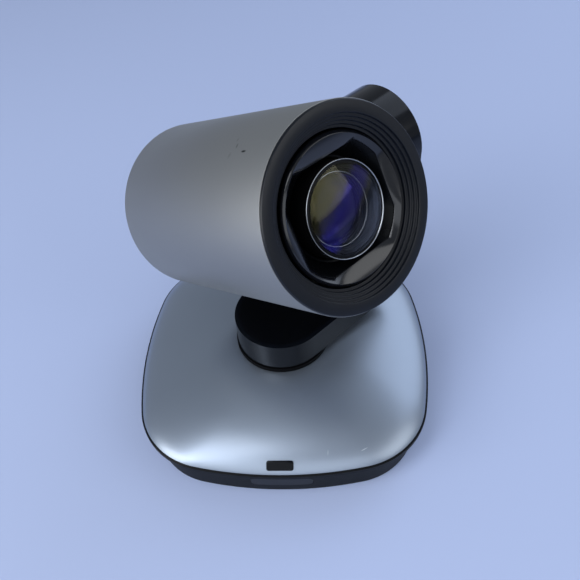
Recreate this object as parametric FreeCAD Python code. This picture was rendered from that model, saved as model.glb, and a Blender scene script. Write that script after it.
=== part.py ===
# Pan-tilt-zoom conference camera: a ballasted base, an L-shaped pan arm and a barrel head that tilts.
#
# Millimetres and degrees. +Z is up, the origin lies on the pan axis in the plane that the feet stand on,
# and the front of the base faces -Y. The arm and the head are built facing -Y with the arm at +X, and are
# then turned to the rest pose: panned by PAN_REST and tilted up by TILT_REST.
import FreeCAD, Part
import math
import os

V = FreeCAD.Vector
UP = V(0, 0, 1)
DOWN = V(0, 0, -1)
RIGHT = V(1, 0, 0)
BACK = V(0, 1, 0)

# ---- Rest pose ----------------------------------------------------------------------------------------
PAN_REST = 45.0
TILT_REST = 29.0

# ---- Clearances ---------------------------------------------------------------------------------------
RUNNING_GAP = 0.05      # radial, a shaft in its bush and a cell on its rods
SEAT_GAP = 0.05         # all round a piece that is let into another
SHUT_LINE = 0.15        # the groove seen round a window or a cover
MOVING_GAP = 0.3        # between faces that move past each other
PORT_GAP = 0.3          # round a connector in its cut-out

# ---- Base ---------------------------------------------------------------------------------------------
BASE_WIDTH = 132.6      # across the rim band
BASE_DEPTH = 128.8
BASE_SIDE_RADIUS = 171.0    # of the shallow arcs that make the plan's four sides
BASE_CORNER_RADIUS = 35.1
BASE_WALL = 2.0
FOOT_STAND = 1.0        # the tray's underside above the table
FLOOR_THICKNESS = 2.0
TRAY_TOP = 19.0
TRAY_TOP_INSET = 1.8    # from the rim band's outline to the tray's top edge
TRAY_FLARE = 2.6        # how far each side wall leans out between floor and top
TRAY_TOE = 0.6          # rounding under the tray
RIM_HEIGHT = 2.8
RIM_EDGE = 0.6          # chamfer on the rim band's outer edges
DOME_INSET = 0.8        # from the rim band's outline to the dome's lower edge
DOME_RISE = 12.2        # from the rim band to the flat land round the hub
LAND_RADIUS = 22.5
LAND_SIDE = 1.15        # the land's side and corner arcs, as shares of its radius: nearly a circle
LAND_CORNER = 0.95
HUB_HOLE_RADIUS = 18.5

FOOT_RADIUS = 6.0
FOOT_RECESS = 0.6
FOOT_SIDE_INSET = 19.5      # from the base's side to a foot's centre
FOOT_END_INSET = 36.75      # from the base's front or rear to a foot's centre
POST_SIDE_INSET = 27.5
POST_END_INSET = 26.75
POST_RADIUS = 5.0
POST_NECK_RADIUS = 3.6
BOARD_STANDOFF = 2.9    # from the tray's floor to the main board, which lies on the posts' shoulders
BOARD_THICKNESS = 1.6
BOARD_GAP = 1.0         # from the tray's walls, where they stand closest, to the main board's rounded corners
BOARD_FRONT_INSET = 17.75   # from the base's front to the board's front edge
WEIGHT_THICKNESS = 1.4
WEIGHT_INSET = 14.0

TRIPOD_THREAD_RADIUS = 2.59     # tapping radius of a quarter-inch, twenty-per-inch photographic thread
TRIPOD_THREAD_DEPTH = 6.2
TRIPOD_MOUTH = 0.6      # chamfer at the thread's mouth
TRIPOD_BUSH_RADIUS = 6.5
TRIPOD_BUSH_HEIGHT = 7.0
TRIPOD_FLANGE_RADIUS = 9.0
TRIPOD_FLANGE = 1.5
TRIPOD_BOARD_GAP = 1.2  # round the bush, in the main board's hole

PORT_INSET = 5.0        # from the base's rear to the plane of the connectors' mouths
PORT_OVERHANG = 6.0     # of the connectors past the main board's rear edge
USB_X = -14.0
USB_WIDTH = 12.0
USB_HEIGHT = 10.9
USB_LENGTH = 16.0
USB_MOUTH_WIDTH = 8.45
USB_MOUTH_HEIGHT = 7.8
USB_MOUTH_DEPTH = 9.5
USB_MOUTH_CORNER = 1.2
USB_TONGUE_WIDTH = 5.6
USB_TONGUE_HEIGHT = 3.2
JACK_X = 8.0
JACK_WIDTH = 9.0
JACK_HEIGHT = 10.9
JACK_LENGTH = 14.0
JACK_BORE_RADIUS = 3.2
JACK_BORE_DEPTH = 9.5
JACK_PIN_RADIUS = 1.0
CONTACT_SETBACK = 5.0   # a socket's tongue or pin ends this far inside its mouth
PORT_ROOT = 1.0         # how far a tongue or pin is sunk into the bottom of its socket
CUT_BEHIND_PORTS = 6.0  # how far the openings in the rear wall are cut inwards from the connectors' mouths
LOCK_X = 22.0
LOCK_Z = 11.5
LOCK_SLOT_WIDTH = 7.0
LOCK_SLOT_HEIGHT = 3.0
LOCK_SLOT_CORNER = 1.3
LOCK_REVEAL = 0.5       # of the metal plate, seen round its slot through the tray's wall
LOCK_PLATE_WIDTH = 11.5
LOCK_PLATE_HEIGHT = 8.0
LOCK_PLATE_CORNER = 1.5
LOCK_PLATE_THICKNESS = 1.5

RECEIVER_WIDTH = 26.5   # oblong infrared window in the tray's front wall
RECEIVER_HEIGHT = 7.5
RECEIVER_CORNER = 2.6
RECEIVER_Z = 11.0
STATUS_WIDTH = 11.3     # status window low on the dome's front slope
STATUS_HEIGHT = 4.2
STATUS_CORNER = 1.0
STATUS_INSET = 3.1      # from the base's front to the window's middle
STATUS_RISE = 3.4       # from the rim band up to the window's middle
STATUS_LEAN = 52.0      # its outward direction above the horizontal
WINDOW_FLANGE = 1.5     # how far the infrared window's hidden flange overlaps the wall round it
WINDOW_FLANGE_THICKNESS = 1.0

# ---- Pan drive ----------------------------------------------------------------------------------------
CHASSIS_THICKNESS = 2.5
PAN_SHAFT_RADIUS = 9.0
PAN_SHAFT_BORE = 6.0
PAN_SHAFT_TAIL = 1.7        # of the shaft below its bush
PAN_BUSH_WALL = 2.5
PAN_BUSH_LENGTH = 11.0
PAN_BUSH_FLANGE = 0.8
HUB_WALL = 3.0
PAN_PLATE_RADIUS = 22.0     # the chassis's round middle
POST_PAD = 1.0          # how far the chassis's round ends reach past the posts
MOTOR_SEAT_MARGIN = 2.0     # how far the chassis's motor seat reaches past the motor
PAN_FLANGE_RADIUS = 16.0
PAN_FLANGE_THICKNESS = 2.0
COLLAR_RADIUS = 21.0
COLLAR_HEIGHT = 2.1
CLIP_THICKNESS = 0.8
CLIP_WIDTH = 3.0
CLIP_MOUTH = 1.2        # opening of a clip, as a share of its groove's radius
GROOVE_DEPTH = 0.9
PAN_MODULE = 1.0
PAN_GEAR_TEETH = 48
PAN_PINION_TEETH = 12
PAN_GEAR_FACE = 4.0
PAN_GEAR_LIFT = 1.5         # from the chassis to the gear
PAN_MOTOR_RADIUS = 10.0
PAN_MOTOR_LENGTH = 10.0
PAN_MOTOR_BEARING = 90.0    # direction from the pan axis to the motor: 90 is straight back
MOTOR_SHAFT_RADIUS = 1.0
MOTOR_NOSE = 0.35       # radius of a motor's nose, as a share of its can's
MOTOR_EDGE = 0.08       # height of the nose and rounding of the can, as shares of the can's radius
TOOTH_BACKLASH = 0.34       # taken off each tooth's thickness, in modules
ADDENDUM = 0.95             # in modules
DEDENDUM = 1.25

# ---- Arm ----------------------------------------------------------------------------------------------
ARM_WIDTH = 41.0
ARM_LEG_HEIGHT = 14.3
ARM_THICKNESS = 25.0    # of the upright
ARM_CROWN_RISE = 1.0    # from the tilt axis up to the centre of the upright's round top
ARM_OUTER_BEND = 16.0
ARM_INNER_BEND = 4.0
ARM_WALL = 1.8
ARM_FLOOR = 2.0
ARM_COVER = 2.0
ARM_EDGE = 0.6          # chamfer on the arm's outer edges
ARM_OVERRUN = 1.0       # how far the L's straight bar is drawn past its round ends before they are cut
BARREL_TO_ARM = 4.0     # from the barrel's side to the upright's inner face
TILT_AXIS_RISE = 60.5   # from the lower leg's top to the tilt axis

# ---- Tilt drive ---------------------------------------------------------------------------------------
TILT_SHAFT_RADIUS = 6.0
TILT_SHAFT_BORE = 4.0
TILT_BUSH_WALL = 2.45
TILT_HUB_WALL = 1.55
TILT_HUB_LENGTH = 12.0      # from the upright's inner face to the end of the moulded hub
TILT_BOSS_RADIUS = 16.0
TILT_FLANGE_RADIUS = 11.0
TILT_FLANGE_THICKNESS = 3.0
TILT_HOLE_GAP = 3.0     # round the tilt shaft, in the barrel's side
TILT_MODULE = 0.8
TILT_GEAR_TEETH = 36
TILT_PINION_TEETH = 10
TILT_GEAR_FACE = 3.5
TILT_MOTOR_RADIUS = 7.5
TILT_MOTOR_LENGTH = 9.6
MOTOR_PLATE = 1.4

# ---- Barrel -------------------------------------------------------------------------------------------
BARREL_RADIUS = 35.0
BARREL_LENGTH = 104.6
BARREL_WALL = 2.0
TILT_SETBACK = 47.0     # from the bezel's front plane back to the tilt axis
SHELL_SETBACK = 0.6     # from the bezel's front plane back to the shell's front edge
SHELL_EDGE = 0.35       # chamfer on the shell's front edge
SHELL_REBATE = 2.5      # depth of the rebate that takes the bezel's rim
SHELL_REBATE_WALL = 0.4
REAR_CAP_LIP = 1.0
REAR_CAP_SETBACK = 0.3  # of the lip inside the barrel's radius
REAR_CAP_SKIRT = 6.0

BEZEL_EDGE = 0.45
BEZEL_FACE_WIDTH = 4.6      # from the barrel's side to the inner edge of the flat face, where the steps begin
BEZEL_STEPS = 4
BEZEL_TREAD = 1.2
BEZEL_STEP_DROP = 1.0
BEZEL_SKIRT = 12.0          # depth that the skirt reaches behind the front plane
BEZEL_WALL = 1.5
BEZEL_HUB_DEPTH = 9.6       # depth of the mouth's rear end, where the hood seats

HOOD_RIM_DEPTH = 4.0        # the hood's rim behind the front plane
HOOD_RIM_GAP = 1.2          # dark gap between the hood's rim and the bezel's mouth
HOOD_RIM_WALL = 1.8         # of the rim where it is thinnest, at the opening's cut corners
HOOD_SIDE_CUT = 2.2         # how far the opening's sides lie inside the circle that cuts its corners
HOOD_TOP_CUT = 4.3
HOOD_FLOOR_DEPTH = 11.0
HOOD_FLOOR_HALF_WIDTH = 17.6
HOOD_FLOOR_HALF_HEIGHT = 17.2
HOOD_FLOOR_CORNER = 17.9
HOOD_BACK_DEPTH = 12.6
HOOD_FLANGE = 1.6
HOOD_FLANGE_WIDTH = 2.8     # of the flange past the bezel's mouth
LENS_HOLE_GAP = 0.5         # between the hood's floor and the lens barrel

# ---- Lens ---------------------------------------------------------------------------------------------
LENS_TUBE_RADIUS = 16.4
LENS_RING_DEPTH = 2.9
LENS_RING_LENGTH = 1.3
LENS_RING_WALL = 1.2
LENS_RING_EDGE = 0.4
LENS_TUBE_WALL = 1.4        # round the front lens
FRONT_LENS_APEX = 0.2
FRONT_LENS_SPHERE = 46.0
FRONT_LENS_EDGE = 5.4       # depth of its seat
FRONT_LENS_STEP = 1.8       # between the front lens's rim and its narrower back
FRONT_LENS_BACK = 8.0
FRONT_LENS_LAND = 1.2       # flat ring round the concave rear face
FRONT_LENS_CENTRE = 2.5     # glass on the axis
SECOND_LENS_STEP = 1.2      # between the front lens's back and the second lens's rim
SECOND_LENS_FRONT = 11.0
SECOND_LENS_EDGE = 2.4
SECOND_LENS_BULGE = 1.4
LENS_STOP_LEDGE = 1.4       # of the edge that the second lens rests on
LENS_FLANGE_WIDTH = 2.6
LENS_FLANGE = 2.0

BLOCK_FRONT = 24.0          # depth of the lens block's front wall
BLOCK_LENGTH = 46.0
BLOCK_HALF_WIDTH = 22.0
BLOCK_HALF_HEIGHT = 20.0
BLOCK_WALL = 1.6
BLOCK_END = 2.0
BLOCK_WINDOW_RADIUS = 11.0
ROD_X = 16.0                # rods and screws stand at the corners of a rectangle round the optical axis
ROD_Z = 13.5
ROD_RADIUS = 1.2
ROD_SEAT = 1.4
CELL_LENGTH = 7.0
CELL_RADIUS = 10.5
CELL_SLEEVE_WALL = 1.35
CELL_ARM = 2.4
CELL_WALL = 1.9             # round the cell's lens
ZOOM_FROM_FRONT = 12.0      # from the block's front to the zoom cell's middle, at rest
FOCUS_FROM_BACK = 12.0      # from the block's back to the focus cell's middle, at rest
ZOOM_LENS_BULGE = -1.3      # negative is hollow
FOCUS_LENS_BULGE = 1.5
CELL_LENS_EDGE = 3.4
DRIVE_MOTOR_RADIUS = 4.0
DRIVE_MOTOR_LENGTH = 14.0
DRIVE_SCREW_SEAT = 1.5
DRIVE_SCREW_NECK = 0.5      # bare journal between a screw's thread and its motor
END_PLAY = 0.1              # at each end of a lead screw

SENSOR_WINDOW_X = 5.0
SENSOR_WINDOW_Z = 4.0
SENSOR_HALF_WIDTH = 7.0
SENSOR_HALF_HEIGHT = 6.0
SENSOR_GAP = 0.2            # between the image sensor and the window before it
BOARD_STAND = 2.0           # bosses under the sensor board
SENSOR_BOARD_THICKNESS = 1.2
SENSOR_BOARD_HALF_WIDTH = 20.0
SENSOR_BOARD_HALF_HEIGHT = 18.0
VIDEO_BOARD_THICKNESS = 1.6
VIDEO_BOARD_HALF_WIDTH = 23.0
VIDEO_BOARD_HALF_HEIGHT = 20.0
SPACER_X = 16.5
SPACER_Z = 14.5
SPACER_RADIUS = 2.0
SPACER_LENGTH = 7.8

BULKHEAD_SETBACK = 6.0      # of each bulkhead from the lens block's end
BULKHEAD_THICKNESS = 2.5
SIDE_PLATE_THICKNESS = 2.5
SIDE_PLATE_HALF_HEIGHT = 15.0

SCREW_RADIUS = 1.4
SCREW_HEAD_RADIUS = 2.6
SCREW_HEAD_HEIGHT = 1.8
BASE_SCREW_GRIP = 4.3       # of the case screws in the dome's bosses
ARM_SCREW_CIRCLE = 12.5
ARM_SCREW_GRIP = 1.6        # of the arm's screws in the pan shaft's flange

# ---- Sizes that follow --------------------------------------------------------------------------------
RIM_TOP = TRAY_TOP + RIM_HEIGHT
DOME_TOP = RIM_TOP + DOME_RISE
TRAY_FLOOR = FOOT_STAND + FLOOR_THICKNESS
TRAY_FOOT_INSET = TRAY_TOP_INSET + TRAY_FLARE
FOOT_X = BASE_WIDTH / 2.0 - FOOT_SIDE_INSET
FOOT_Y = BASE_DEPTH / 2.0 - FOOT_END_INSET
POST_X = BASE_WIDTH / 2.0 - POST_SIDE_INSET
POST_Y = BASE_DEPTH / 2.0 - POST_END_INSET
PORT_FACE = BASE_DEPTH / 2.0 - PORT_INSET
BOARD_HEIGHT = TRAY_FLOOR + BOARD_STANDOFF
BOARD_TOP = BOARD_HEIGHT + BOARD_THICKNESS
CHASSIS_TOP = TRAY_TOP + CHASSIS_THICKNESS
PAN_BUSH_RADIUS = PAN_SHAFT_RADIUS + RUNNING_GAP + PAN_BUSH_WALL
PAN_BUSH_BOTTOM = CHASSIS_TOP - PAN_BUSH_LENGTH
PAN_SHAFT_BOTTOM = PAN_BUSH_BOTTOM - PAN_SHAFT_TAIL
PAN_HUB_RADIUS = PAN_BUSH_RADIUS + HUB_WALL
PAN_GEAR_BOTTOM = CHASSIS_TOP + PAN_GEAR_LIFT
PAN_CENTRES = PAN_MODULE * (PAN_GEAR_TEETH + PAN_PINION_TEETH) / 2.0
PAN_MOTOR_AT = V(PAN_CENTRES * math.cos(math.radians(PAN_MOTOR_BEARING)),
                 PAN_CENTRES * math.sin(math.radians(PAN_MOTOR_BEARING)), 0)
COLLAR_BOTTOM = DOME_TOP + MOVING_GAP
ARM_BOTTOM = COLLAR_BOTTOM + COLLAR_HEIGHT
ARM_TOP = ARM_BOTTOM + ARM_LEG_HEIGHT
ARM_END_RADIUS = ARM_WIDTH / 2.0
ARM_FACE = BARREL_RADIUS + BARREL_TO_ARM
ARM_REACH = ARM_FACE + ARM_THICKNESS
TILT_AXIS_HEIGHT = ARM_TOP + TILT_AXIS_RISE
ARM_CROWN_HEIGHT = TILT_AXIS_HEIGHT + ARM_CROWN_RISE
TILT_HUB_END = ARM_FACE + TILT_HUB_LENGTH
TILT_BUSH_RADIUS = TILT_SHAFT_RADIUS + RUNNING_GAP + TILT_BUSH_WALL
TILT_HUB_RADIUS = TILT_BUSH_RADIUS + TILT_HUB_WALL
TILT_CENTRES = TILT_MODULE * (TILT_GEAR_TEETH + TILT_PINION_TEETH) / 2.0
TILT_GEAR_FROM = TILT_HUB_END + MOTOR_PLATE + 4 * MOVING_GAP
BARREL_BORE = BARREL_RADIUS - BARREL_WALL
SHELL_BACK = BARREL_LENGTH - REAR_CAP_LIP
BEZEL_RADIUS = BARREL_RADIUS - SHELL_REBATE_WALL - SEAT_GAP
BEZEL_FACE_RADIUS = BARREL_RADIUS - BEZEL_FACE_WIDTH
BEZEL_MOUTH_RADIUS = BEZEL_FACE_RADIUS - BEZEL_STEPS * BEZEL_TREAD
HOOD_RADIUS = BEZEL_MOUTH_RADIUS - HOOD_RIM_GAP
HOOD_CORNER_RADIUS = HOOD_RADIUS - HOOD_RIM_WALL
HOOD_HALF_WIDTH = HOOD_CORNER_RADIUS - HOOD_SIDE_CUT
HOOD_HALF_HEIGHT = HOOD_CORNER_RADIUS - HOOD_TOP_CUT
HOOD_FLANGE_RADIUS = BEZEL_MOUTH_RADIUS + HOOD_FLANGE_WIDTH
FRONT_LENS_RADIUS = LENS_TUBE_RADIUS - LENS_TUBE_WALL
FRONT_LENS_NECK = FRONT_LENS_RADIUS - FRONT_LENS_STEP
FRONT_LENS_HOLLOW = FRONT_LENS_NECK - FRONT_LENS_LAND
SECOND_LENS_RADIUS = FRONT_LENS_NECK - SECOND_LENS_STEP
SECOND_LENS_DEPTH = SECOND_LENS_FRONT + SECOND_LENS_BULGE + SECOND_LENS_EDGE / 2.0
LENS_STOP_RADIUS = SECOND_LENS_RADIUS - LENS_STOP_LEDGE
LENS_FLANGE_RADIUS = LENS_TUBE_RADIUS + LENS_FLANGE_WIDTH
BLOCK_BACK = BLOCK_FRONT + BLOCK_LENGTH
BLOCK_INNER_X = BLOCK_HALF_WIDTH - BLOCK_WALL
BLOCK_INNER_Z = BLOCK_HALF_HEIGHT - BLOCK_WALL
ZOOM_DEPTH = BLOCK_FRONT + ZOOM_FROM_FRONT
FOCUS_DEPTH = BLOCK_BACK - FOCUS_FROM_BACK
CELL_SLEEVE_RADIUS = ROD_RADIUS + RUNNING_GAP + CELL_SLEEVE_WALL
CELL_LENS_RADIUS = CELL_RADIUS - CELL_WALL
SENSOR_BOARD_DEPTH = BLOCK_BACK + BLOCK_END + BOARD_STAND
VIDEO_BOARD_DEPTH = SENSOR_BOARD_DEPTH + SENSOR_BOARD_THICKNESS + SPACER_LENGTH
SIDE_PLATE_OUTSIDE = BLOCK_HALF_WIDTH + SIDE_PLATE_THICKNESS
BASE_SCREW_SEAT = FOOT_STAND + SCREW_HEAD_HEIGHT
BASE_SCREW_TIP = CHASSIS_TOP + BASE_SCREW_GRIP
DOME_SECTIONS = 8           # outlines that the dome's outer skin is drawn through
DOME_LINING = (0.15, 0.45, 0.75)    # where its hollow's ceiling breaks, as shares of the way in to the land

# ---- Where each assembly stands -----------------------------------------------------------------------
IN_BASE = FreeCAD.Placement()
IN_ARM = FreeCAD.Placement(V(0, 0, 0), FreeCAD.Rotation(UP, PAN_REST))
TILT_POINT = V(0, 0, TILT_AXIS_HEIGHT)
IN_HEAD = IN_ARM * FreeCAD.Placement(TILT_POINT, FreeCAD.Rotation(RIGHT, -TILT_REST))


# ---- Plain shapes -------------------------------------------------------------------------------------
def block(x_from, x_to, y_from, y_to, z_from, z_to):
    """Box between two corners."""
    return Part.makeBox(x_to - x_from, y_to - y_from, z_to - z_from, V(x_from, y_from, z_from))


def rod(radius, start, end):
    """Cylinder from one point to another."""
    return Part.makeCylinder(radius, (end - start).Length, start, end - start)


def tube(outer, inner, start, end):
    """Hollow cylinder from one point to another."""
    return rod(outer, start, end).cut(rod(inner, start, end))


def joined(shapes):
    """One shape from several that touch or overlap."""
    whole = shapes[0]
    for shape in shapes[1:]:
        whole = whole.fuse(shape)
    return whole.removeSplitter()


def without(shape, tools):
    """A shape with each tool cut out of it."""
    for tool in tools:
        shape = shape.cut(tool)
    return shape


def oblong(width, height, corner, start, end):
    """Prism of a rounded rectangle, from one point to another; its width lies along X."""
    length = (end - start).Length
    half_w = width / 2.0
    half_h = height / 2.0
    slab = block(-half_w, half_w, -half_h, half_h, 0, length)
    slab = slab.makeFillet(corner, [e for e in slab.Edges if abs(e.tangentAt(e.FirstParameter).z) > 0.99])
    forward = (end - start).normalize()
    side = RIGHT.cross(forward) * -1
    turn = FreeCAD.Rotation(RIGHT, side * -1, forward, "ZXY")
    slab.Placement = FreeCAD.Placement(start, turn)
    return slab


def turned(profile, start=V(0, 0, 0), axis=UP):
    """Solid of revolution of a closed outline of (radius, distance along the axis) points."""
    corners_of_face = [V(radius, 0, along) for radius, along in profile + profile[:1]]
    solid = Part.Face(Part.makePolygon(corners_of_face)).revolve(V(0, 0, 0), UP, 360)
    if solid.Volume < 0:
        solid.reverse()
    solid.Placement = FreeCAD.Placement(start, FreeCAD.Rotation(UP, axis))
    return solid


def gear(module, teeth, face, bore, start, axis, facing):
    """Spur gear from a point along an axis, with one tooth centred on the facing direction."""
    pitch = module * teeth / 2.0
    half_tooth = module * (math.pi / 4.0 - TOOTH_BACKLASH / 2.0)
    slope = math.tan(math.radians(20.0))
    corners = []
    for tooth in range(teeth):
        middle = 2.0 * math.pi * tooth / teeth
        for side, height in ((-1, -DEDENDUM), (-1, ADDENDUM), (1, ADDENDUM), (1, -DEDENDUM)):
            radius = pitch + module * height
            half = (half_tooth - module * height * slope) / radius
            turn = middle + side * half
            corners.append(V(radius * math.cos(turn), radius * math.sin(turn), 0))
    blank = Part.Face(Part.makePolygon(corners + corners[:1])).extrude(V(0, 0, face))
    blank = blank.cut(rod(bore, V(0, 0, 0), V(0, 0, face)))
    blank.Placement = FreeCAD.Placement(start, FreeCAD.Rotation(facing, axis.cross(facing), axis, "ZXY"))
    return blank


def pinion(module, teeth, face, start, axis, facing, tail):
    """Pinion with one gap centred on the facing direction, and a motor shaft reaching back by tail."""
    half_pitch = FreeCAD.Rotation(axis, 180.0 / teeth)
    wheel = gear(module, teeth, face, MOTOR_SHAFT_RADIUS, start, axis, half_pitch.multVec(facing))
    return wheel.fuse(rod(MOTOR_SHAFT_RADIUS, start - axis * tail, start + axis * face)).removeSplitter()


def motor(radius, length, start, axis, shaft_depth):
    """Round can motor whose mounting face is at start; the can lies behind it, against the axis."""
    edge = radius * MOTOR_EDGE
    nose = radius * MOTOR_NOSE
    can = turned([(0, -length), (radius - edge, -length), (radius, edge - length), (radius, 0),
                  (nose, 0), (nose, edge), (0, edge)], start, axis)
    return can.cut(rod(MOTOR_SHAFT_RADIUS + RUNNING_GAP, start - axis * shaft_depth, start + axis * edge))


def retaining_clip(shaft_radius, start, axis):
    """Open spring ring that sits in a groove of a shaft."""
    groove = shaft_radius - GROOVE_DEPTH
    outer = groove + CLIP_WIDTH
    ring = tube(outer, groove, start, start + axis * CLIP_THICKNESS)
    half_mouth = groove * CLIP_MOUTH / 2.0
    mouth = block(0, outer * 2, -half_mouth, half_mouth, 0, CLIP_THICKNESS)
    mouth.Placement = FreeCAD.Placement(start, FreeCAD.Rotation(UP, axis))
    return ring.cut(mouth)


def groove(shaft_radius, start, axis):
    """Cutter for the groove that a retaining clip sits in."""
    return tube(shaft_radius * 2, shaft_radius - GROOVE_DEPTH, start, start + axis * CLIP_THICKNESS)


def screw(start, axis, length):
    """Cheese-head screw whose head seats at start and whose shank runs along the axis."""
    head = rod(SCREW_HEAD_RADIUS, start - axis * SCREW_HEAD_HEIGHT, start)
    return head.fuse(rod(SCREW_RADIUS, start, start + axis * length))


def corners(x, y, z):
    """The four points that mirror (x, y) in both axes, at height z."""
    return [V(x, y, z), V(-x, y, z), V(-x, -y, z), V(x, -y, z)]


# ---- Base ---------------------------------------------------------------------------------------------
def corner_centre(half_width, half_depth, side, corner):
    """Centre of the outline's corner arc on the +X +Y side."""
    beyond_x = side - half_width
    beyond_y = side - half_depth
    half_gap = math.hypot(beyond_x, beyond_y) / 2.0
    rise = math.sqrt((side - corner) ** 2 - half_gap ** 2) / (2.0 * half_gap)
    return V(rise * beyond_y - beyond_x / 2.0, rise * beyond_x - beyond_y / 2.0, 0)


def outline(half_width, half_depth, side, corner, z):
    """Closed outline of eight arcs that meet smoothly: four shallow sides and four rounder corners."""
    beyond_x = side - half_width
    beyond_y = side - half_depth
    middle = corner_centre(half_width, half_depth, side, corner)
    flank = V(-beyond_x, 0, 0) + V(middle.x + beyond_x, middle.y, 0).normalize() * side
    back = V(0, -beyond_y, 0) + V(middle.x, middle.y + beyond_y, 0).normalize() * side
    knee = middle + V(1, 1, 0).normalize() * corner
    arcs = []
    for sx, sy in ((1, 1), (-1, -1)):
        rounds = [V(flank.x * sx, -flank.y * sy, z), V(half_width * sx, 0, z), V(flank.x * sx, flank.y * sy, z),
                  V(knee.x * sx, knee.y * sy, z), V(back.x * sx, back.y * sy, z), V(0, half_depth * sy, z),
                  V(-back.x * sx, back.y * sy, z), V(-knee.x * sx, knee.y * sy, z),
                  V(-flank.x * sx, flank.y * sy, z)]
        for first in range(0, 8, 2):
            arcs.append(Part.Arc(*rounds[first:first + 3]).toShape())
    return Part.Wire(arcs)


def base_outline(inset, z):
    """The base's outline, a given distance inside the rim band's."""
    return outline(BASE_WIDTH / 2.0 - inset, BASE_DEPTH / 2.0 - inset, BASE_SIDE_RADIUS - inset,
                   BASE_CORNER_RADIUS - inset, z)


def base_slab(inset, z_from, z_to):
    """Upright slab of the base's outline."""
    return Part.Face(base_outline(inset, z_from)).extrude(V(0, 0, z_to - z_from))


def base_ring(section):
    """Ring round the base's outline, from a closed section of (distance inside the outline, height) points."""
    knee = corner_centre(BASE_WIDTH / 2.0, BASE_DEPTH / 2.0, BASE_SIDE_RADIUS, BASE_CORNER_RADIUS)
    flank = V(BASE_WIDTH / 2.0 - BASE_SIDE_RADIUS, 0, 0)
    back = V(0, BASE_DEPTH / 2.0 - BASE_SIDE_RADIUS, 0)
    flank_turn = math.degrees(math.atan2(knee.y, knee.x - flank.x))
    back_turn = math.degrees(math.atan2(knee.x, knee.y - back.y))
    corner_turn = 90.0 - flank_turn - back_turn
    half_round = ((flank, BASE_SIDE_RADIUS, -flank_turn, 2 * flank_turn),
                  (knee, BASE_CORNER_RADIUS, flank_turn, corner_turn),
                  (back, BASE_SIDE_RADIUS, 90.0 - back_turn, 2 * back_turn),
                  (V(-knee.x, knee.y, 0), BASE_CORNER_RADIUS, 90.0 + back_turn, corner_turn))
    sectors = []
    for way in (0.0, 180.0):
        for centre, radius, start, sweep in half_round:
            points = [V(radius - inset, 0, height) for inset, height in section + section[:1]]
            sector = Part.Face(Part.makePolygon(points)).revolve(V(0, 0, 0), UP, sweep)
            sector.rotate(V(0, 0, 0), UP, start)
            sector.translate(centre)
            sector.rotate(V(0, 0, 0), UP, way)
            sectors.append(sector)
    return joined(sectors)


def tray_body(inset, toe=TRAY_TOE):
    """The tray's flared block; inset gives the same form with every wall that much further in."""
    bottom = FOOT_STAND + inset * FLOOR_THICKNESS / BASE_WALL
    sections = [base_outline(TRAY_FOOT_INSET + inset, bottom + toe),
                base_outline(TRAY_TOP_INSET + inset, TRAY_TOP)]
    if toe:
        sections.insert(0, base_outline(TRAY_FOOT_INSET + inset + toe, bottom))
    return Part.makeLoft(sections, True, True)


def dome_rise(share, height):
    """Height above the rim of the dome's section, a quarter ellipse, at a share of the way in to the land."""
    land = LAND_RADIUS / (BASE_WIDTH / 2.0 - DOME_INSET)
    across = 1.0 - share * (1.0 - land)
    return height * math.sqrt(1.0 - across ** 2) / math.sqrt(1.0 - land ** 2)


def dome_body(inset):
    """The dome's pillow: the base's outline at its foot, closing in to the hub's round land."""
    foot = (BASE_WIDTH / 2.0 - DOME_INSET - inset, BASE_DEPTH / 2.0 - DOME_INSET - inset,
            BASE_SIDE_RADIUS - DOME_INSET - inset, BASE_CORNER_RADIUS - DOME_INSET - inset)
    land = (LAND_RADIUS, LAND_RADIUS, LAND_SIDE * LAND_RADIUS, LAND_CORNER * LAND_RADIUS)
    quarter = math.acos(LAND_RADIUS / (BASE_WIDTH / 2.0 - DOME_INSET))
    wires = []
    for step in range(DOME_SECTIONS):
        turn = quarter * step / (DOME_SECTIONS - 1)
        share = (1.0 - math.cos(turn)) / (1.0 - math.cos(quarter))
        sizes = [low + (high - low) * share for low, high in zip(foot, land)]
        wires.append(outline(*sizes, RIM_TOP + dome_rise(share, DOME_RISE - inset)))
    return Part.makeLoft(wires, True, True)


def dome_hollow():
    """The space under the dome, with a ceiling of straight slopes one wall below the skin."""
    edge = DOME_INSET + BASE_WALL
    reach = BASE_WIDTH / 2.0 - LAND_RADIUS - DOME_INSET
    ceiling = []
    for share in DOME_LINING:
        ceiling.append((edge + share * reach, RIM_TOP + dome_rise(share, DOME_RISE) - BASE_WALL))
    middle, top = ceiling[-1]
    ring = base_ring([(middle, RIM_TOP - BASE_WALL), (edge, RIM_TOP - BASE_WALL), (edge, RIM_TOP)] + ceiling)
    return joined([ring, base_slab(middle, RIM_TOP - BASE_WALL, top)])


def receiver_prism(grow):
    """Prism through the tray's front wall, the size of the infrared window plus grow all round."""
    front = V(0, -BASE_DEPTH, RECEIVER_Z)
    return oblong(RECEIVER_WIDTH + 2 * grow, RECEIVER_HEIGHT + 2 * grow, RECEIVER_CORNER + grow,
                  front, V(0, -BASE_DEPTH / 4.0, RECEIVER_Z))


def status_prism(grow):
    """Prism through the dome's front slope, the size of the status window plus grow all round."""
    lean = math.radians(STATUS_LEAN)
    outward = V(0, -math.cos(lean), math.sin(lean))
    middle = V(0, STATUS_INSET - BASE_DEPTH / 2.0, RIM_TOP + STATUS_RISE)
    return oblong(STATUS_WIDTH + 2 * grow, STATUS_HEIGHT + 2 * grow, STATUS_CORNER + grow,
                  middle - outward * 5.0, middle + outward * 5.0)


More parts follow.
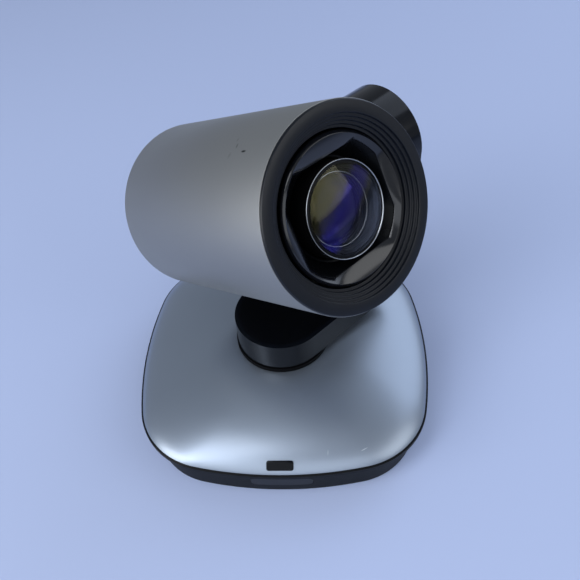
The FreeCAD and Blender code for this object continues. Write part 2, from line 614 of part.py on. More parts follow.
def port_cutter(x, width, height):
    """Cut-out in the rear wall for a connector that stands on the main board."""
    half = width / 2.0 + PORT_GAP
    return block(x - half, x + half, PORT_FACE - CUT_BEHIND_PORTS, BASE_DEPTH,
                 BOARD_TOP - PORT_GAP, BOARD_TOP + height + PORT_GAP)


def lock_prism(width, height, corner):
    """Rounded prism through the tray's rear wall at the security lock's place."""
    inside = V(LOCK_X, PORT_FACE - CUT_BEHIND_PORTS, LOCK_Z)
    return oblong(width, height, corner, inside, V(LOCK_X, BASE_DEPTH, LOCK_Z))


def base_tray():
    adds = [tray_body(0.0).cut(tray_body(BASE_WALL, 0.0))]
    for foot in corners(POST_X, POST_Y, TRAY_FLOOR - 0.5):
        adds.append(rod(POST_RADIUS, foot, V(foot.x, foot.y, BOARD_HEIGHT)))
        adds.append(rod(POST_NECK_RADIUS, foot, V(foot.x, foot.y, TRAY_TOP)))
    tray = joined(adds)
    cuts = [receiver_prism(SHUT_LINE)]
    cuts.append(port_cutter(USB_X, USB_WIDTH, USB_HEIGHT))
    cuts.append(port_cutter(JACK_X, JACK_WIDTH, JACK_HEIGHT))
    cuts.append(lock_prism(LOCK_SLOT_WIDTH + 2 * LOCK_REVEAL, LOCK_SLOT_HEIGHT + 2 * LOCK_REVEAL,
                           LOCK_SLOT_CORNER + LOCK_REVEAL))
    cuts.append(rod(TRIPOD_BUSH_RADIUS + SEAT_GAP, V(0, 0, 0), V(0, 0, TRAY_FLOOR + 1.0)))
    for foot in corners(FOOT_X, FOOT_Y, 0):
        cuts.append(rod(FOOT_RADIUS + SEAT_GAP, foot, foot + UP * (FOOT_STAND + FOOT_RECESS)))
    for post in corners(POST_X, POST_Y, 0):
        cuts.append(rod(SCREW_RADIUS + RUNNING_GAP, post, post + UP * (TRAY_TOP + 1.0)))
        cuts.append(rod(SCREW_HEAD_RADIUS + SEAT_GAP, post, post + UP * BASE_SCREW_SEAT))
    return without(tray, cuts)


def rim_band():
    ring = base_slab(0.0, TRAY_TOP, RIM_TOP)
    ring = ring.makeChamfer(RIM_EDGE, [e for e in ring.Edges if abs(e.tangentAt(e.FirstParameter).z) < 0.01])
    return ring.cut(base_slab(TRAY_TOP_INSET + BASE_WALL, TRAY_TOP - 1.0, RIM_TOP + 1.0))


def base_dome():
    dome = dome_body(0.0).cut(dome_hollow())
    bosses = []
    for post in corners(POST_X, POST_Y, CHASSIS_TOP):
        bosses.append(rod(POST_RADIUS, post, V(post.x, post.y, DOME_TOP)))
    inside = dome_body(BASE_WALL / 2.0)
    inside = inside.fuse(base_slab(TRAY_TOP_INSET + 2 * BASE_WALL, CHASSIS_TOP - 1.0, RIM_TOP + 1.0))
    dome = joined([dome] + [boss.common(inside) for boss in bosses])
    cuts = [rod(HUB_HOLE_RADIUS, V(0, 0, RIM_TOP), V(0, 0, DOME_TOP + 1.0)), status_prism(SHUT_LINE)]
    for post in corners(POST_X, POST_Y, CHASSIS_TOP - 1.0):
        cuts.append(rod(SCREW_RADIUS + RUNNING_GAP, post, V(post.x, post.y, BASE_SCREW_TIP + MOVING_GAP)))
    return without(dome, cuts)


def base_feet():
    thickness = UP * (FOOT_STAND + FOOT_RECESS)
    return Part.makeCompound([rod(FOOT_RADIUS, foot, foot + thickness) for foot in corners(FOOT_X, FOOT_Y, 0)])


def tripod_bush():
    top = FOOT_STAND + TRIPOD_BUSH_HEIGHT
    flange_top = TRAY_FLOOR + TRIPOD_FLANGE
    body = turned([(0, top), (TRIPOD_BUSH_RADIUS, top),
                   (TRIPOD_BUSH_RADIUS, flange_top), (TRIPOD_FLANGE_RADIUS, flange_top),
                   (TRIPOD_FLANGE_RADIUS, TRAY_FLOOR), (TRIPOD_BUSH_RADIUS, TRAY_FLOOR),
                   (TRIPOD_BUSH_RADIUS, FOOT_STAND), (0, FOOT_STAND)])
    mouth = Part.makeCone(TRIPOD_THREAD_RADIUS + TRIPOD_MOUTH, TRIPOD_THREAD_RADIUS, TRIPOD_MOUTH,
                          V(0, 0, FOOT_STAND))
    return body.cut(rod(TRIPOD_THREAD_RADIUS, V(0, 0, 0), V(0, 0, FOOT_STAND + TRIPOD_THREAD_DEPTH))).cut(mouth)


def base_weight():
    plate = base_slab(WEIGHT_INSET, TRAY_FLOOR, TRAY_FLOOR + WEIGHT_THICKNESS)
    cuts = [rod(TRIPOD_FLANGE_RADIUS + SEAT_GAP, V(0, 0, 0), V(0, 0, BOARD_HEIGHT))]
    for post in corners(POST_X, POST_Y, 0):
        cuts.append(rod(POST_RADIUS + SEAT_GAP, post, post + UP * BOARD_HEIGHT))
    return without(plate, cuts)


def main_board():
    board = base_slab(TRAY_FOOT_INSET + BASE_WALL + BOARD_GAP, BOARD_HEIGHT, BOARD_TOP)
    board = board.common(block(-BASE_WIDTH, BASE_WIDTH, BOARD_FRONT_INSET - BASE_DEPTH / 2.0,
                               PORT_FACE - PORT_OVERHANG, BOARD_HEIGHT, BOARD_TOP))
    cuts = [rod(TRIPOD_BUSH_RADIUS + TRIPOD_BOARD_GAP, V(0, 0, 0), V(0, 0, BOARD_TOP + 1.0))]
    for post in corners(POST_X, POST_Y, 0):
        cuts.append(rod(POST_NECK_RADIUS + SEAT_GAP, post, post + UP * (BOARD_TOP + 1.0)))
    return without(board, cuts)


def usb_port():
    middle = BOARD_TOP + USB_HEIGHT / 2.0
    body = block(USB_X - USB_WIDTH / 2.0, USB_X + USB_WIDTH / 2.0, PORT_FACE - USB_LENGTH, PORT_FACE,
                 BOARD_TOP, BOARD_TOP + USB_HEIGHT)
    mouth = oblong(USB_MOUTH_WIDTH, USB_MOUTH_HEIGHT, USB_MOUTH_CORNER,
                   V(USB_X, PORT_FACE - USB_MOUTH_DEPTH, middle), V(USB_X, PORT_FACE + 1.0, middle))
    tongue = block(USB_X - USB_TONGUE_WIDTH / 2.0, USB_X + USB_TONGUE_WIDTH / 2.0,
                   PORT_FACE - USB_MOUTH_DEPTH - PORT_ROOT, PORT_FACE - CONTACT_SETBACK,
                   middle - USB_TONGUE_HEIGHT / 2.0, middle + USB_TONGUE_HEIGHT / 2.0)
    return joined([body.cut(mouth), tongue])


def power_jack():
    middle = BOARD_TOP + JACK_HEIGHT / 2.0
    body = block(JACK_X - JACK_WIDTH / 2.0, JACK_X + JACK_WIDTH / 2.0, PORT_FACE - JACK_LENGTH, PORT_FACE,
                 BOARD_TOP, BOARD_TOP + JACK_HEIGHT)
    bore_end = V(JACK_X, PORT_FACE - JACK_BORE_DEPTH, middle)
    body = body.cut(rod(JACK_BORE_RADIUS, bore_end, V(JACK_X, PORT_FACE + 1.0, middle)))
    pin = rod(JACK_PIN_RADIUS, bore_end - BACK * PORT_ROOT, V(JACK_X, PORT_FACE - CONTACT_SETBACK, middle))
    return joined([body, pin])


def behind_wall(thickness):
    """Layer of the given thickness that lines the tray's side walls."""
    return tray_body(BASE_WALL, 0.0).cut(tray_body(BASE_WALL + thickness, 0.0))


def security_slot():
    plate = behind_wall(LOCK_PLATE_THICKNESS).common(
        lock_prism(LOCK_PLATE_WIDTH, LOCK_PLATE_HEIGHT, LOCK_PLATE_CORNER))
    return plate.cut(lock_prism(LOCK_SLOT_WIDTH, LOCK_SLOT_HEIGHT, LOCK_SLOT_CORNER))


def receiver_window():
    wall = tray_body(0.0).cut(tray_body(BASE_WALL, 0.0))
    flange = behind_wall(WINDOW_FLANGE_THICKNESS).common(receiver_prism(WINDOW_FLANGE))
    return joined([wall.common(receiver_prism(0.0)), flange])


def status_window():
    wall = dome_body(0.0).cut(dome_hollow())
    return wall.common(status_prism(0.0))


def pan_chassis():
    reach = math.hypot(POST_X, POST_Y)
    plate = [rod(PAN_PLATE_RADIUS, V(0, 0, TRAY_TOP), V(0, 0, CHASSIS_TOP))]
    for side in (-1, 1):
        bar = block(-reach, reach, -POST_RADIUS, POST_RADIUS, TRAY_TOP, CHASSIS_TOP)
        bar.rotate(V(0, 0, 0), UP, side * math.degrees(math.atan2(POST_Y, POST_X)))
        plate.append(bar)
    for post in corners(POST_X, POST_Y, TRAY_TOP):
        plate.append(rod(POST_RADIUS + POST_PAD, post, V(post.x, post.y, CHASSIS_TOP)))
    seat = PAN_MOTOR_AT + UP * TRAY_TOP
    plate.append(rod(PAN_MOTOR_RADIUS + MOTOR_SEAT_MARGIN, seat, seat + UP * CHASSIS_THICKNESS))
    plate.append(rod(PAN_HUB_RADIUS, V(0, 0, PAN_BUSH_BOTTOM), V(0, 0, CHASSIS_TOP)))
    cuts = [rod(PAN_BUSH_RADIUS, V(0, 0, 0), V(0, 0, CHASSIS_TOP + 1.0))]
    nose = PAN_MOTOR_RADIUS * MOTOR_NOSE + SEAT_GAP
    cuts.append(rod(nose, PAN_MOTOR_AT, seat + UP * (CHASSIS_THICKNESS + 1.0)))
    for post in corners(POST_X, POST_Y, TRAY_TOP - 1.0):
        cuts.append(rod(SCREW_RADIUS + RUNNING_GAP, post, V(post.x, post.y, CHASSIS_TOP + 1.0)))
    return without(joined(plate), cuts)


def pan_bush():
    inner = PAN_SHAFT_RADIUS + RUNNING_GAP
    return turned([(inner, PAN_BUSH_BOTTOM), (PAN_BUSH_RADIUS, PAN_BUSH_BOTTOM), (PAN_BUSH_RADIUS, CHASSIS_TOP),
                   (PAN_HUB_RADIUS, CHASSIS_TOP), (PAN_HUB_RADIUS, CHASSIS_TOP + PAN_BUSH_FLANGE),
                   (inner, CHASSIS_TOP + PAN_BUSH_FLANGE)])


def pan_motor():
    return motor(PAN_MOTOR_RADIUS, PAN_MOTOR_LENGTH, PAN_MOTOR_AT + UP * TRAY_TOP, UP, PAN_MOTOR_LENGTH / 2.0)


def pan_pinion():
    start = PAN_MOTOR_AT + UP * PAN_GEAR_BOTTOM
    return pinion(PAN_MODULE, PAN_PINION_TEETH, PAN_GEAR_FACE, start, UP, PAN_MOTOR_AT * (-1.0 / PAN_CENTRES),
                  PAN_GEAR_BOTTOM - TRAY_TOP + PAN_MOTOR_LENGTH / 4.0)


def base_screws():
    seats = corners(POST_X, POST_Y, BASE_SCREW_SEAT)
    return Part.makeCompound([screw(seat, UP, BASE_SCREW_TIP - BASE_SCREW_SEAT) for seat in seats])


# ---- Arm, built with the upright at +X ------------------------------------------------------------------
def ribbon(side, outer, inner):
    """The arm's L-shaped ribbon with its round ends; the three values inset its sides, outside and inside."""
    end = ARM_END_RADIUS - side
    low = ARM_BOTTOM + outer
    high = ARM_TOP - inner
    far = ARM_REACH - outer
    near = ARM_FACE + inner
    top = ARM_CROWN_HEIGHT + ARM_END_RADIUS + ARM_OVERRUN
    start = -ARM_END_RADIUS - ARM_OVERRUN
    outer_bend = ARM_OUTER_BEND - outer
    inner_bend = ARM_INNER_BEND + inner
    corner = math.sqrt(0.5)
    out_centre = V(far - outer_bend, 0, low + outer_bend)
    in_centre = V(near - inner_bend, 0, high + inner_bend)
    points = [V(start, 0, low), V(out_centre.x, 0, low), V(far, 0, out_centre.z), V(far, 0, top),
              V(near, 0, top), V(near, 0, in_centre.z), V(in_centre.x, 0, high), V(start, 0, high)]
    edges = [Part.makeLine(points[0], points[1]),
             Part.Arc(points[1], out_centre + V(corner, 0, -corner) * outer_bend, points[2]).toShape(),
             Part.makeLine(points[2], points[3]), Part.makeLine(points[3], points[4]),
             Part.makeLine(points[4], points[5]),
             Part.Arc(points[5], in_centre + V(corner, 0, -corner) * inner_bend, points[6]).toShape(),
             Part.makeLine(points[6], points[7]), Part.makeLine(points[7], points[0])]
    profile = Part.Face(Part.Wire(edges))
    profile.translate(V(0, -end, 0))
    bar = profile.extrude(V(0, 2 * end, 0))
    far_out = 2 * ARM_REACH
    plan = rod(end, V(0, 0, 0), V(0, 0, top)).fuse(block(0, far_out, -end, end, 0, top))
    side_view = rod(end, V(-far_out, 0, ARM_CROWN_HEIGHT), V(far_out, 0, ARM_CROWN_HEIGHT))
    side_view = side_view.fuse(block(-far_out, far_out, -end, end, 0, ARM_CROWN_HEIGHT))
    return bar.common(plan).common(side_view).removeSplitter()


def arm_edges(shape):
    """The long edges round the outside of the arm's two flanks and its underside."""
    picked = []
    for edge in shape.Edges:
        box = edge.BoundBox
        on_flank = max(abs(box.YMin), abs(box.YMax)) > ARM_END_RADIUS - 0.01 and box.YLength < ARM_WIDTH
        outside = box.XMin > ARM_REACH - ARM_OUTER_BEND - 0.01 or box.ZMax < ARM_TOP - 0.5
        if outside and (on_flank or box.ZMax < ARM_BOTTOM + 0.01 or box.XMin > ARM_REACH - 0.01):
            picked.append(edge)
    return picked


def arm_screw_points(z):
    """Where the arm is screwed down to the pan shaft's flange."""
    spots = []
    for quarter in range(4):
        angle = math.radians(45.0 + 90.0 * quarter)
        spots.append(V(ARM_SCREW_CIRCLE * math.cos(angle), ARM_SCREW_CIRCLE * math.sin(angle), z))
    return spots


def arm_shell():
    body = ribbon(0.0, 0.0, 0.0)
    body = body.makeChamfer(ARM_EDGE, arm_edges(body))
    hollow = ribbon(ARM_WALL, ARM_FLOOR, -1.0)
    cuts = [hollow, rod(PAN_SHAFT_BORE, V(0, 0, 0), V(0, 0, ARM_TOP))]
    for spot in arm_screw_points(0):
        cuts.append(rod(SCREW_RADIUS + RUNNING_GAP, spot, spot + UP * ARM_TOP))
    return without(body, cuts)


def arm_cover():
    end = ARM_END_RADIUS
    under_leg = block(-ARM_WIDTH, ARM_FACE + ARM_COVER, -end, end, 0, ARM_TOP - ARM_COVER)
    in_upright = block(ARM_FACE + ARM_COVER, 2 * ARM_REACH, -end, end, 0, 2 * TILT_AXIS_HEIGHT)
    plate = without(ribbon(ARM_WALL + SEAT_GAP, 0.0, 0.0), [under_leg, in_upright])
    tilt_from = V(ARM_FACE, 0, TILT_AXIS_HEIGHT)
    hub = rod(TILT_HUB_RADIUS, tilt_from, tilt_from + RIGHT * TILT_HUB_LENGTH)
    bore = rod(TILT_BUSH_RADIUS, tilt_from - RIGHT, tilt_from + RIGHT * (TILT_HUB_LENGTH + 1.0))
    beside_hub = rod(TILT_MOTOR_RADIUS + SEAT_GAP, tilt_motor_point(ARM_FACE + ARM_COVER),
                     tilt_motor_point(TILT_HUB_END))
    return joined([plate, hub.cut(beside_hub)]).cut(bore)


def pan_shaft():
    top = ARM_BOTTOM
    flange = top - PAN_FLANGE_THICKNESS
    body = turned([(PAN_SHAFT_BORE, PAN_SHAFT_BOTTOM), (PAN_SHAFT_RADIUS, PAN_SHAFT_BOTTOM),
                   (PAN_SHAFT_RADIUS, flange), (PAN_FLANGE_RADIUS, flange), (PAN_FLANGE_RADIUS, top),
                   (PAN_SHAFT_BORE, top)])
    cuts = [groove(PAN_SHAFT_RADIUS, pan_clip_seat(), UP)]
    for spot in arm_screw_points(0):
        cuts.append(rod(SCREW_RADIUS + RUNNING_GAP, spot, spot + UP * (top + 1.0)))
    return without(body, cuts)


def pan_clip_seat():
    """Underside of the clip that keeps the pan shaft in its bush."""
    return V(0, 0, PAN_BUSH_BOTTOM - MOVING_GAP - CLIP_THICKNESS)


def pan_clip():
    return retaining_clip(PAN_SHAFT_RADIUS, pan_clip_seat(), UP)


def pan_gear():
    facing = PAN_MOTOR_AT * (1.0 / PAN_CENTRES)
    wheel = gear(PAN_MODULE, PAN_GEAR_TEETH, PAN_GEAR_FACE, PAN_SHAFT_RADIUS + SEAT_GAP,
                 V(0, 0, PAN_GEAR_BOTTOM), UP, facing)
    hub_bottom = CHASSIS_TOP + PAN_BUSH_FLANGE + MOVING_GAP
    hub = tube(PAN_HUB_RADIUS, PAN_SHAFT_RADIUS + SEAT_GAP, V(0, 0, hub_bottom), V(0, 0, PAN_GEAR_BOTTOM))
    return joined([wheel, hub])


def pan_collar():
    return tube(COLLAR_RADIUS, PAN_FLANGE_RADIUS + SEAT_GAP, V(0, 0, COLLAR_BOTTOM), V(0, 0, ARM_BOTTOM))


def arm_screws():
    spots = arm_screw_points(ARM_BOTTOM + ARM_FLOOR)
    return Part.makeCompound([screw(spot, DOWN, ARM_FLOOR + ARM_SCREW_GRIP) for spot in spots])


def tilt_bush():
    start = TILT_POINT + RIGHT * (ARM_FACE + 4 * SEAT_GAP)
    return tube(TILT_BUSH_RADIUS, TILT_SHAFT_RADIUS + RUNNING_GAP, start, TILT_POINT + RIGHT * TILT_HUB_END)


def tilt_motor_point(x):
    """Point of the tilt motor's axis, below the tilt axis."""
    return V(x, 0, TILT_AXIS_HEIGHT - TILT_CENTRES)


def tilt_motor_plate():
    near = TILT_HUB_END
    far = TILT_HUB_END + MOTOR_PLATE
    head = rod(TILT_HUB_RADIUS, V(near, 0, TILT_AXIS_HEIGHT), V(far, 0, TILT_AXIS_HEIGHT))
    tail = rod(TILT_MOTOR_RADIUS, tilt_motor_point(near), tilt_motor_point(far))
    neck = block(near, far, -TILT_MOTOR_RADIUS, TILT_MOTOR_RADIUS, TILT_AXIS_HEIGHT - TILT_CENTRES,
                 TILT_AXIS_HEIGHT)
    shaft = rod(TILT_SHAFT_RADIUS + PORT_GAP, V(0, 0, TILT_AXIS_HEIGHT), V(far + 1.0, 0, TILT_AXIS_HEIGHT))
    nose = rod(TILT_MOTOR_RADIUS * MOTOR_NOSE + SEAT_GAP, tilt_motor_point(0), tilt_motor_point(far + 1.0))
    return joined([head, neck, tail]).cut(shaft).cut(nose)


def tilt_motor():
    return motor(TILT_MOTOR_RADIUS, TILT_MOTOR_LENGTH, tilt_motor_point(TILT_HUB_END), RIGHT,
                 TILT_MOTOR_LENGTH / 2.0)


def tilt_pinion():
    start = tilt_motor_point(TILT_GEAR_FROM)
    return pinion(TILT_MODULE, TILT_PINION_TEETH, TILT_GEAR_FACE, start, RIGHT, UP,
                  TILT_GEAR_FROM - TILT_HUB_END + TILT_MOTOR_LENGTH / 4.0)


def tilt_gear():
    return gear(TILT_MODULE, TILT_GEAR_TEETH, TILT_GEAR_FACE, TILT_SHAFT_RADIUS + SEAT_GAP,
                TILT_POINT + RIGHT * TILT_GEAR_FROM, RIGHT, DOWN)


# ---- Head, built about the tilt axis: the barrel looks along -Y -----------------------------------------
def axis_point(depth, x=0.0, z=0.0):
    """Point at a depth behind the bezel's front plane."""
    return V(x, depth - TILT_SETBACK, z)


def barrel_turned(profile):
    """Solid of revolution about the optical axis, from (radius, depth) points."""
    return turned(profile, axis_point(0.0), BACK)


def barrel_tube(outer, inner, depth_from, depth_to, x=0.0, z=0.0):
    """Tube parallel to the optical axis."""
    return tube(outer, inner, axis_point(depth_from, x, z), axis_point(depth_to, x, z))


def barrel_rod(radius, depth_from, depth_to, x=0.0, z=0.0):
    """Rod parallel to the optical axis."""
    return rod(radius, axis_point(depth_from, x, z), axis_point(depth_to, x, z))


def barrel_block(half_width, half_height, depth_from, depth_to, x=0.0, z=0.0):
    """Box centred on a line parallel to the optical axis."""
    return block(x - half_width, x + half_width, depth_from - TILT_SETBACK, depth_to - TILT_SETBACK,
                 z - half_height, z + half_height)


def barrel_shell():
    rebate = BARREL_RADIUS - SHELL_REBATE_WALL
    body = barrel_turned([(rebate, SHELL_SETBACK), (BARREL_RADIUS - SHELL_EDGE, SHELL_SETBACK),
                          (BARREL_RADIUS, SHELL_SETBACK + SHELL_EDGE), (BARREL_RADIUS, SHELL_BACK),
                          (BARREL_BORE, SHELL_BACK), (BARREL_BORE, SHELL_REBATE), (rebate, SHELL_REBATE)])
    return body.cut(rod(TILT_SHAFT_RADIUS + TILT_HOLE_GAP, V(0, 0, 0), V(BARREL_RADIUS + 1.0, 0, 0)))


def front_bezel():
    skirt = BARREL_BORE - SEAT_GAP
    profile = [(BEZEL_RADIUS, BEZEL_EDGE), (BEZEL_RADIUS - BEZEL_EDGE, 0.0)]
    for step in range(BEZEL_STEPS):
        edge = BEZEL_FACE_RADIUS - step * BEZEL_TREAD
        profile.append((edge, step * BEZEL_STEP_DROP))
        profile.append((edge, (step + 1) * BEZEL_STEP_DROP))
    profile += [(BEZEL_MOUTH_RADIUS, BEZEL_STEPS * BEZEL_STEP_DROP), (BEZEL_MOUTH_RADIUS, BEZEL_HUB_DEPTH),
                (BEZEL_MOUTH_RADIUS + 2 * BEZEL_WALL, BEZEL_HUB_DEPTH), (skirt - BEZEL_WALL, SHELL_REBATE),
                (skirt - BEZEL_WALL, BEZEL_SKIRT), (skirt, BEZEL_SKIRT), (skirt, SHELL_REBATE),
                (BEZEL_RADIUS, SHELL_REBATE)]
    return barrel_turned(profile)


def clipped_rectangle(half_width, half_height, radius, depth):
    """Wire of a rectangle across the optical axis whose corners are cut by a circle."""
    side_z = math.sqrt(radius ** 2 - half_width ** 2)
    top_x = math.sqrt(radius ** 2 - half_height ** 2)
    knee = radius * math.sqrt(0.5)
    edges = []
    for sx, sz in ((1, 1), (-1, -1)):
        right = axis_point(depth, sx * half_width, sz * side_z)
        upper = axis_point(depth, sx * top_x, sz * half_height)
        upper_far = axis_point(depth, -sx * top_x, sz * half_height)
        left = axis_point(depth, -sx * half_width, sz * side_z)
        left_low = axis_point(depth, -sx * half_width, -sz * side_z)
        edges.append(Part.Arc(right, axis_point(depth, sx * knee, sz * knee), upper).toShape())
        edges.append(Part.makeLine(upper, upper_far))
        edges.append(Part.Arc(upper_far, axis_point(depth, -sx * knee, sz * knee), left).toShape())
        edges.append(Part.makeLine(left, left_low))
    return Part.Wire(edges)


def lens_hood():
    flange_back = BEZEL_HUB_DEPTH + HOOD_FLANGE
    body = barrel_turned([(0, HOOD_RIM_DEPTH), (HOOD_RADIUS, HOOD_RIM_DEPTH), (HOOD_RADIUS, BEZEL_HUB_DEPTH),
                          (HOOD_FLANGE_RADIUS, BEZEL_HUB_DEPTH), (HOOD_FLANGE_RADIUS, flange_back),
                          (HOOD_RADIUS, flange_back), (HOOD_RADIUS, HOOD_BACK_DEPTH), (0, HOOD_BACK_DEPTH)])
    mouth = clipped_rectangle(HOOD_HALF_WIDTH, HOOD_HALF_HEIGHT, HOOD_CORNER_RADIUS, HOOD_RIM_DEPTH)
    floor = clipped_rectangle(HOOD_FLOOR_HALF_WIDTH, HOOD_FLOOR_HALF_HEIGHT, HOOD_FLOOR_CORNER,
                              HOOD_FLOOR_DEPTH)
    recess = Part.makeLoft([mouth, floor], True, True)
    hole = barrel_rod(LENS_TUBE_RADIUS + LENS_HOLE_GAP, 0.0, HOOD_BACK_DEPTH + 1.0)
    return body.cut(recess).cut(hole)


def lens_ring():
    outer = LENS_TUBE_RADIUS
    inner = outer - LENS_RING_WALL
    back = LENS_RING_DEPTH + LENS_RING_LENGTH
    return barrel_turned([(inner, LENS_RING_DEPTH), (outer - LENS_RING_EDGE, LENS_RING_DEPTH),
                          (outer, LENS_RING_DEPTH + LENS_RING_EDGE), (outer, back), (inner, back)])


def lens_tube():
    back = BLOCK_FRONT
    step = LENS_RING_DEPTH + LENS_RING_LENGTH
    seat = FRONT_LENS_RADIUS + SEAT_GAP
    neck = FRONT_LENS_NECK + SEAT_GAP
    bore = SECOND_LENS_RADIUS + SEAT_GAP
    stop = SECOND_LENS_DEPTH + SECOND_LENS_EDGE / 2.0 + lens_rise(SECOND_LENS_RADIUS, SECOND_LENS_BULGE,
                                                                  LENS_STOP_RADIUS)
    return barrel_turned([(seat, step), (LENS_TUBE_RADIUS, step), (LENS_TUBE_RADIUS, back - LENS_FLANGE),
                          (LENS_FLANGE_RADIUS, back - LENS_FLANGE), (LENS_FLANGE_RADIUS, back),
                          (LENS_STOP_RADIUS, back), (LENS_STOP_RADIUS, stop), (bore, stop),
                          (bore, FRONT_LENS_BACK + SEAT_GAP), (neck, FRONT_LENS_BACK + SEAT_GAP),
                          (neck, FRONT_LENS_EDGE), (seat, FRONT_LENS_EDGE)])


def ball(radius, depth):
    """Sphere centred on the optical axis."""
    return Part.makeSphere(radius, axis_point(depth))


def front_lens():
    blank = barrel_turned([(0, 0), (FRONT_LENS_RADIUS, 0), (FRONT_LENS_RADIUS, FRONT_LENS_EDGE),
                           (FRONT_LENS_NECK, FRONT_LENS_EDGE), (FRONT_LENS_NECK, FRONT_LENS_BACK),
                           (0, FRONT_LENS_BACK)])
    hollow_apex = FRONT_LENS_APEX + FRONT_LENS_CENTRE
    sag = FRONT_LENS_BACK - hollow_apex
    hollow = (FRONT_LENS_HOLLOW ** 2 + sag ** 2) / (2.0 * sag)
    blank = blank.common(ball(FRONT_LENS_SPHERE, FRONT_LENS_APEX + FRONT_LENS_SPHERE))
    return blank.cut(ball(hollow, hollow_apex + hollow))


def lens_rise(radius, bulge, at):
    """How far a bulging face stands proud of the lens's edge, at a radius within it."""
    sphere = (radius ** 2 + bulge ** 2) / (2.0 * bulge)
    return bulge - sphere + math.sqrt(sphere ** 2 - at ** 2)


def round_lens(radius, edge, bulge, middle_depth):
    """Lens with two like spherical faces; a negative bulge makes them hollow."""
    sphere = (radius ** 2 + bulge ** 2) / (2.0 * abs(bulge))
    if bulge > 0:
        blank = barrel_rod(radius, middle_depth - edge - bulge, middle_depth + edge + bulge)
        offset = sphere - edge / 2.0 - bulge
        return blank.common(ball(sphere, middle_depth + offset)).common(ball(sphere, middle_depth - offset))
    blank = barrel_rod(radius, middle_depth - edge / 2.0, middle_depth + edge / 2.0)
    offset = edge / 2.0 + bulge + sphere
    return blank.cut(ball(sphere, middle_depth - offset)).cut(ball(sphere, middle_depth + offset))


def second_lens():
    return round_lens(SECOND_LENS_RADIUS, SECOND_LENS_EDGE, SECOND_LENS_BULGE, SECOND_LENS_DEPTH)


def lens_block():
    body = barrel_block(BLOCK_HALF_WIDTH, BLOCK_HALF_HEIGHT, BLOCK_FRONT, BLOCK_BACK)
    hollow = barrel_block(BLOCK_INNER_X, BLOCK_INNER_Z, BLOCK_FRONT + BLOCK_END, BLOCK_BACK + 1.0)
    cuts = [hollow, barrel_rod(BLOCK_WINDOW_RADIUS, BLOCK_FRONT - 1.0, BLOCK_BACK)]
    seat = BLOCK_FRONT + BLOCK_END - ROD_SEAT
    for x, z in ((-ROD_X, ROD_Z), (ROD_X, -ROD_Z), (-ROD_X, -ROD_Z)):
        cuts.append(barrel_rod(ROD_RADIUS + RUNNING_GAP, seat, BLOCK_BACK, x, z))
    return without(body, cuts)


def sensor_plate():
    front = BLOCK_BACK
    back = BLOCK_BACK + BLOCK_END
    plate = barrel_block(BLOCK_HALF_WIDTH, BLOCK_HALF_HEIGHT, front, back)
    bosses = []
    for x, z in ((SPACER_X, SPACER_Z), (-SPACER_X, SPACER_Z), (-SPACER_X, -SPACER_Z), (SPACER_X, -SPACER_Z)):
        bosses.append(barrel_rod(SPACER_RADIUS, back - 0.5, back + BOARD_STAND, x, z))
    cuts = [barrel_block(SENSOR_WINDOW_X, SENSOR_WINDOW_Z, front - 1.0, back + 1.0)]
    for x, z in ((-ROD_X, ROD_Z), (ROD_X, -ROD_Z), (ROD_X, ROD_Z)):
        cuts.append(barrel_rod(ROD_RADIUS + RUNNING_GAP, front - 1.0, front + ROD_SEAT, x, z))
    return without(joined([plate] + bosses), cuts)


def guide_rods():
    start = BLOCK_FRONT + BLOCK_END - ROD_SEAT
    end = BLOCK_BACK + ROD_SEAT
    return Part.makeCompound([barrel_rod(ROD_RADIUS, start, end, -ROD_X, ROD_Z),
                              barrel_rod(ROD_RADIUS, start, end, ROD_X, -ROD_Z)])


def lens_cell(depth, screw_side):
    """Lens carrier: a ring with sleeves on both guide rods and a nut on the screw at the given side."""
    front = depth - CELL_LENGTH / 2.0
    back = depth + CELL_LENGTH / 2.0
    spots = [(-ROD_X, ROD_Z), (ROD_X, -ROD_Z), (screw_side * ROD_X, screw_side * ROD_Z)]
    adds = [barrel_rod(CELL_RADIUS, front, back)]
    for x, z in spots:
        adds.append(barrel_rod(CELL_SLEEVE_RADIUS, front, back, x, z))
        spoke = block(0, math.hypot(x, z), depth - CELL_ARM - TILT_SETBACK, depth + CELL_ARM - TILT_SETBACK,
                      -CELL_ARM / 2.0, CELL_ARM / 2.0)
        spoke.rotate(V(0, 0, 0), BACK, -math.degrees(math.atan2(z, x)))
        adds.append(spoke)
    cuts = [barrel_rod(CELL_LENS_RADIUS + SEAT_GAP, front - 1.0, back + 1.0)]
    for x, z in spots:
        cuts.append(barrel_rod(ROD_RADIUS + RUNNING_GAP, front - 1.0, back + 1.0, x, z))
    return without(joined(adds), cuts)


def zoom_cell():
    return lens_cell(ZOOM_DEPTH, -1)


def zoom_lens():
    return round_lens(CELL_LENS_RADIUS, CELL_LENS_EDGE, ZOOM_LENS_BULGE, ZOOM_DEPTH)


def focus_cell():
    return lens_cell(FOCUS_DEPTH, 1)


def focus_lens():
    return round_lens(CELL_LENS_RADIUS, CELL_LENS_EDGE, FOCUS_LENS_BULGE, FOCUS_DEPTH)


def zoom_motor():
    return motor(DRIVE_MOTOR_RADIUS, DRIVE_MOTOR_LENGTH,
                 axis_point(BLOCK_BACK - DRIVE_MOTOR_LENGTH, -ROD_X, -ROD_Z), BACK * -1, DRIVE_SCREW_SEAT)


def focus_motor():
    return motor(DRIVE_MOTOR_RADIUS, DRIVE_MOTOR_LENGTH,
                 axis_point(BLOCK_FRONT + BLOCK_END + DRIVE_MOTOR_LENGTH, ROD_X, ROD_Z), BACK, DRIVE_SCREW_SEAT)


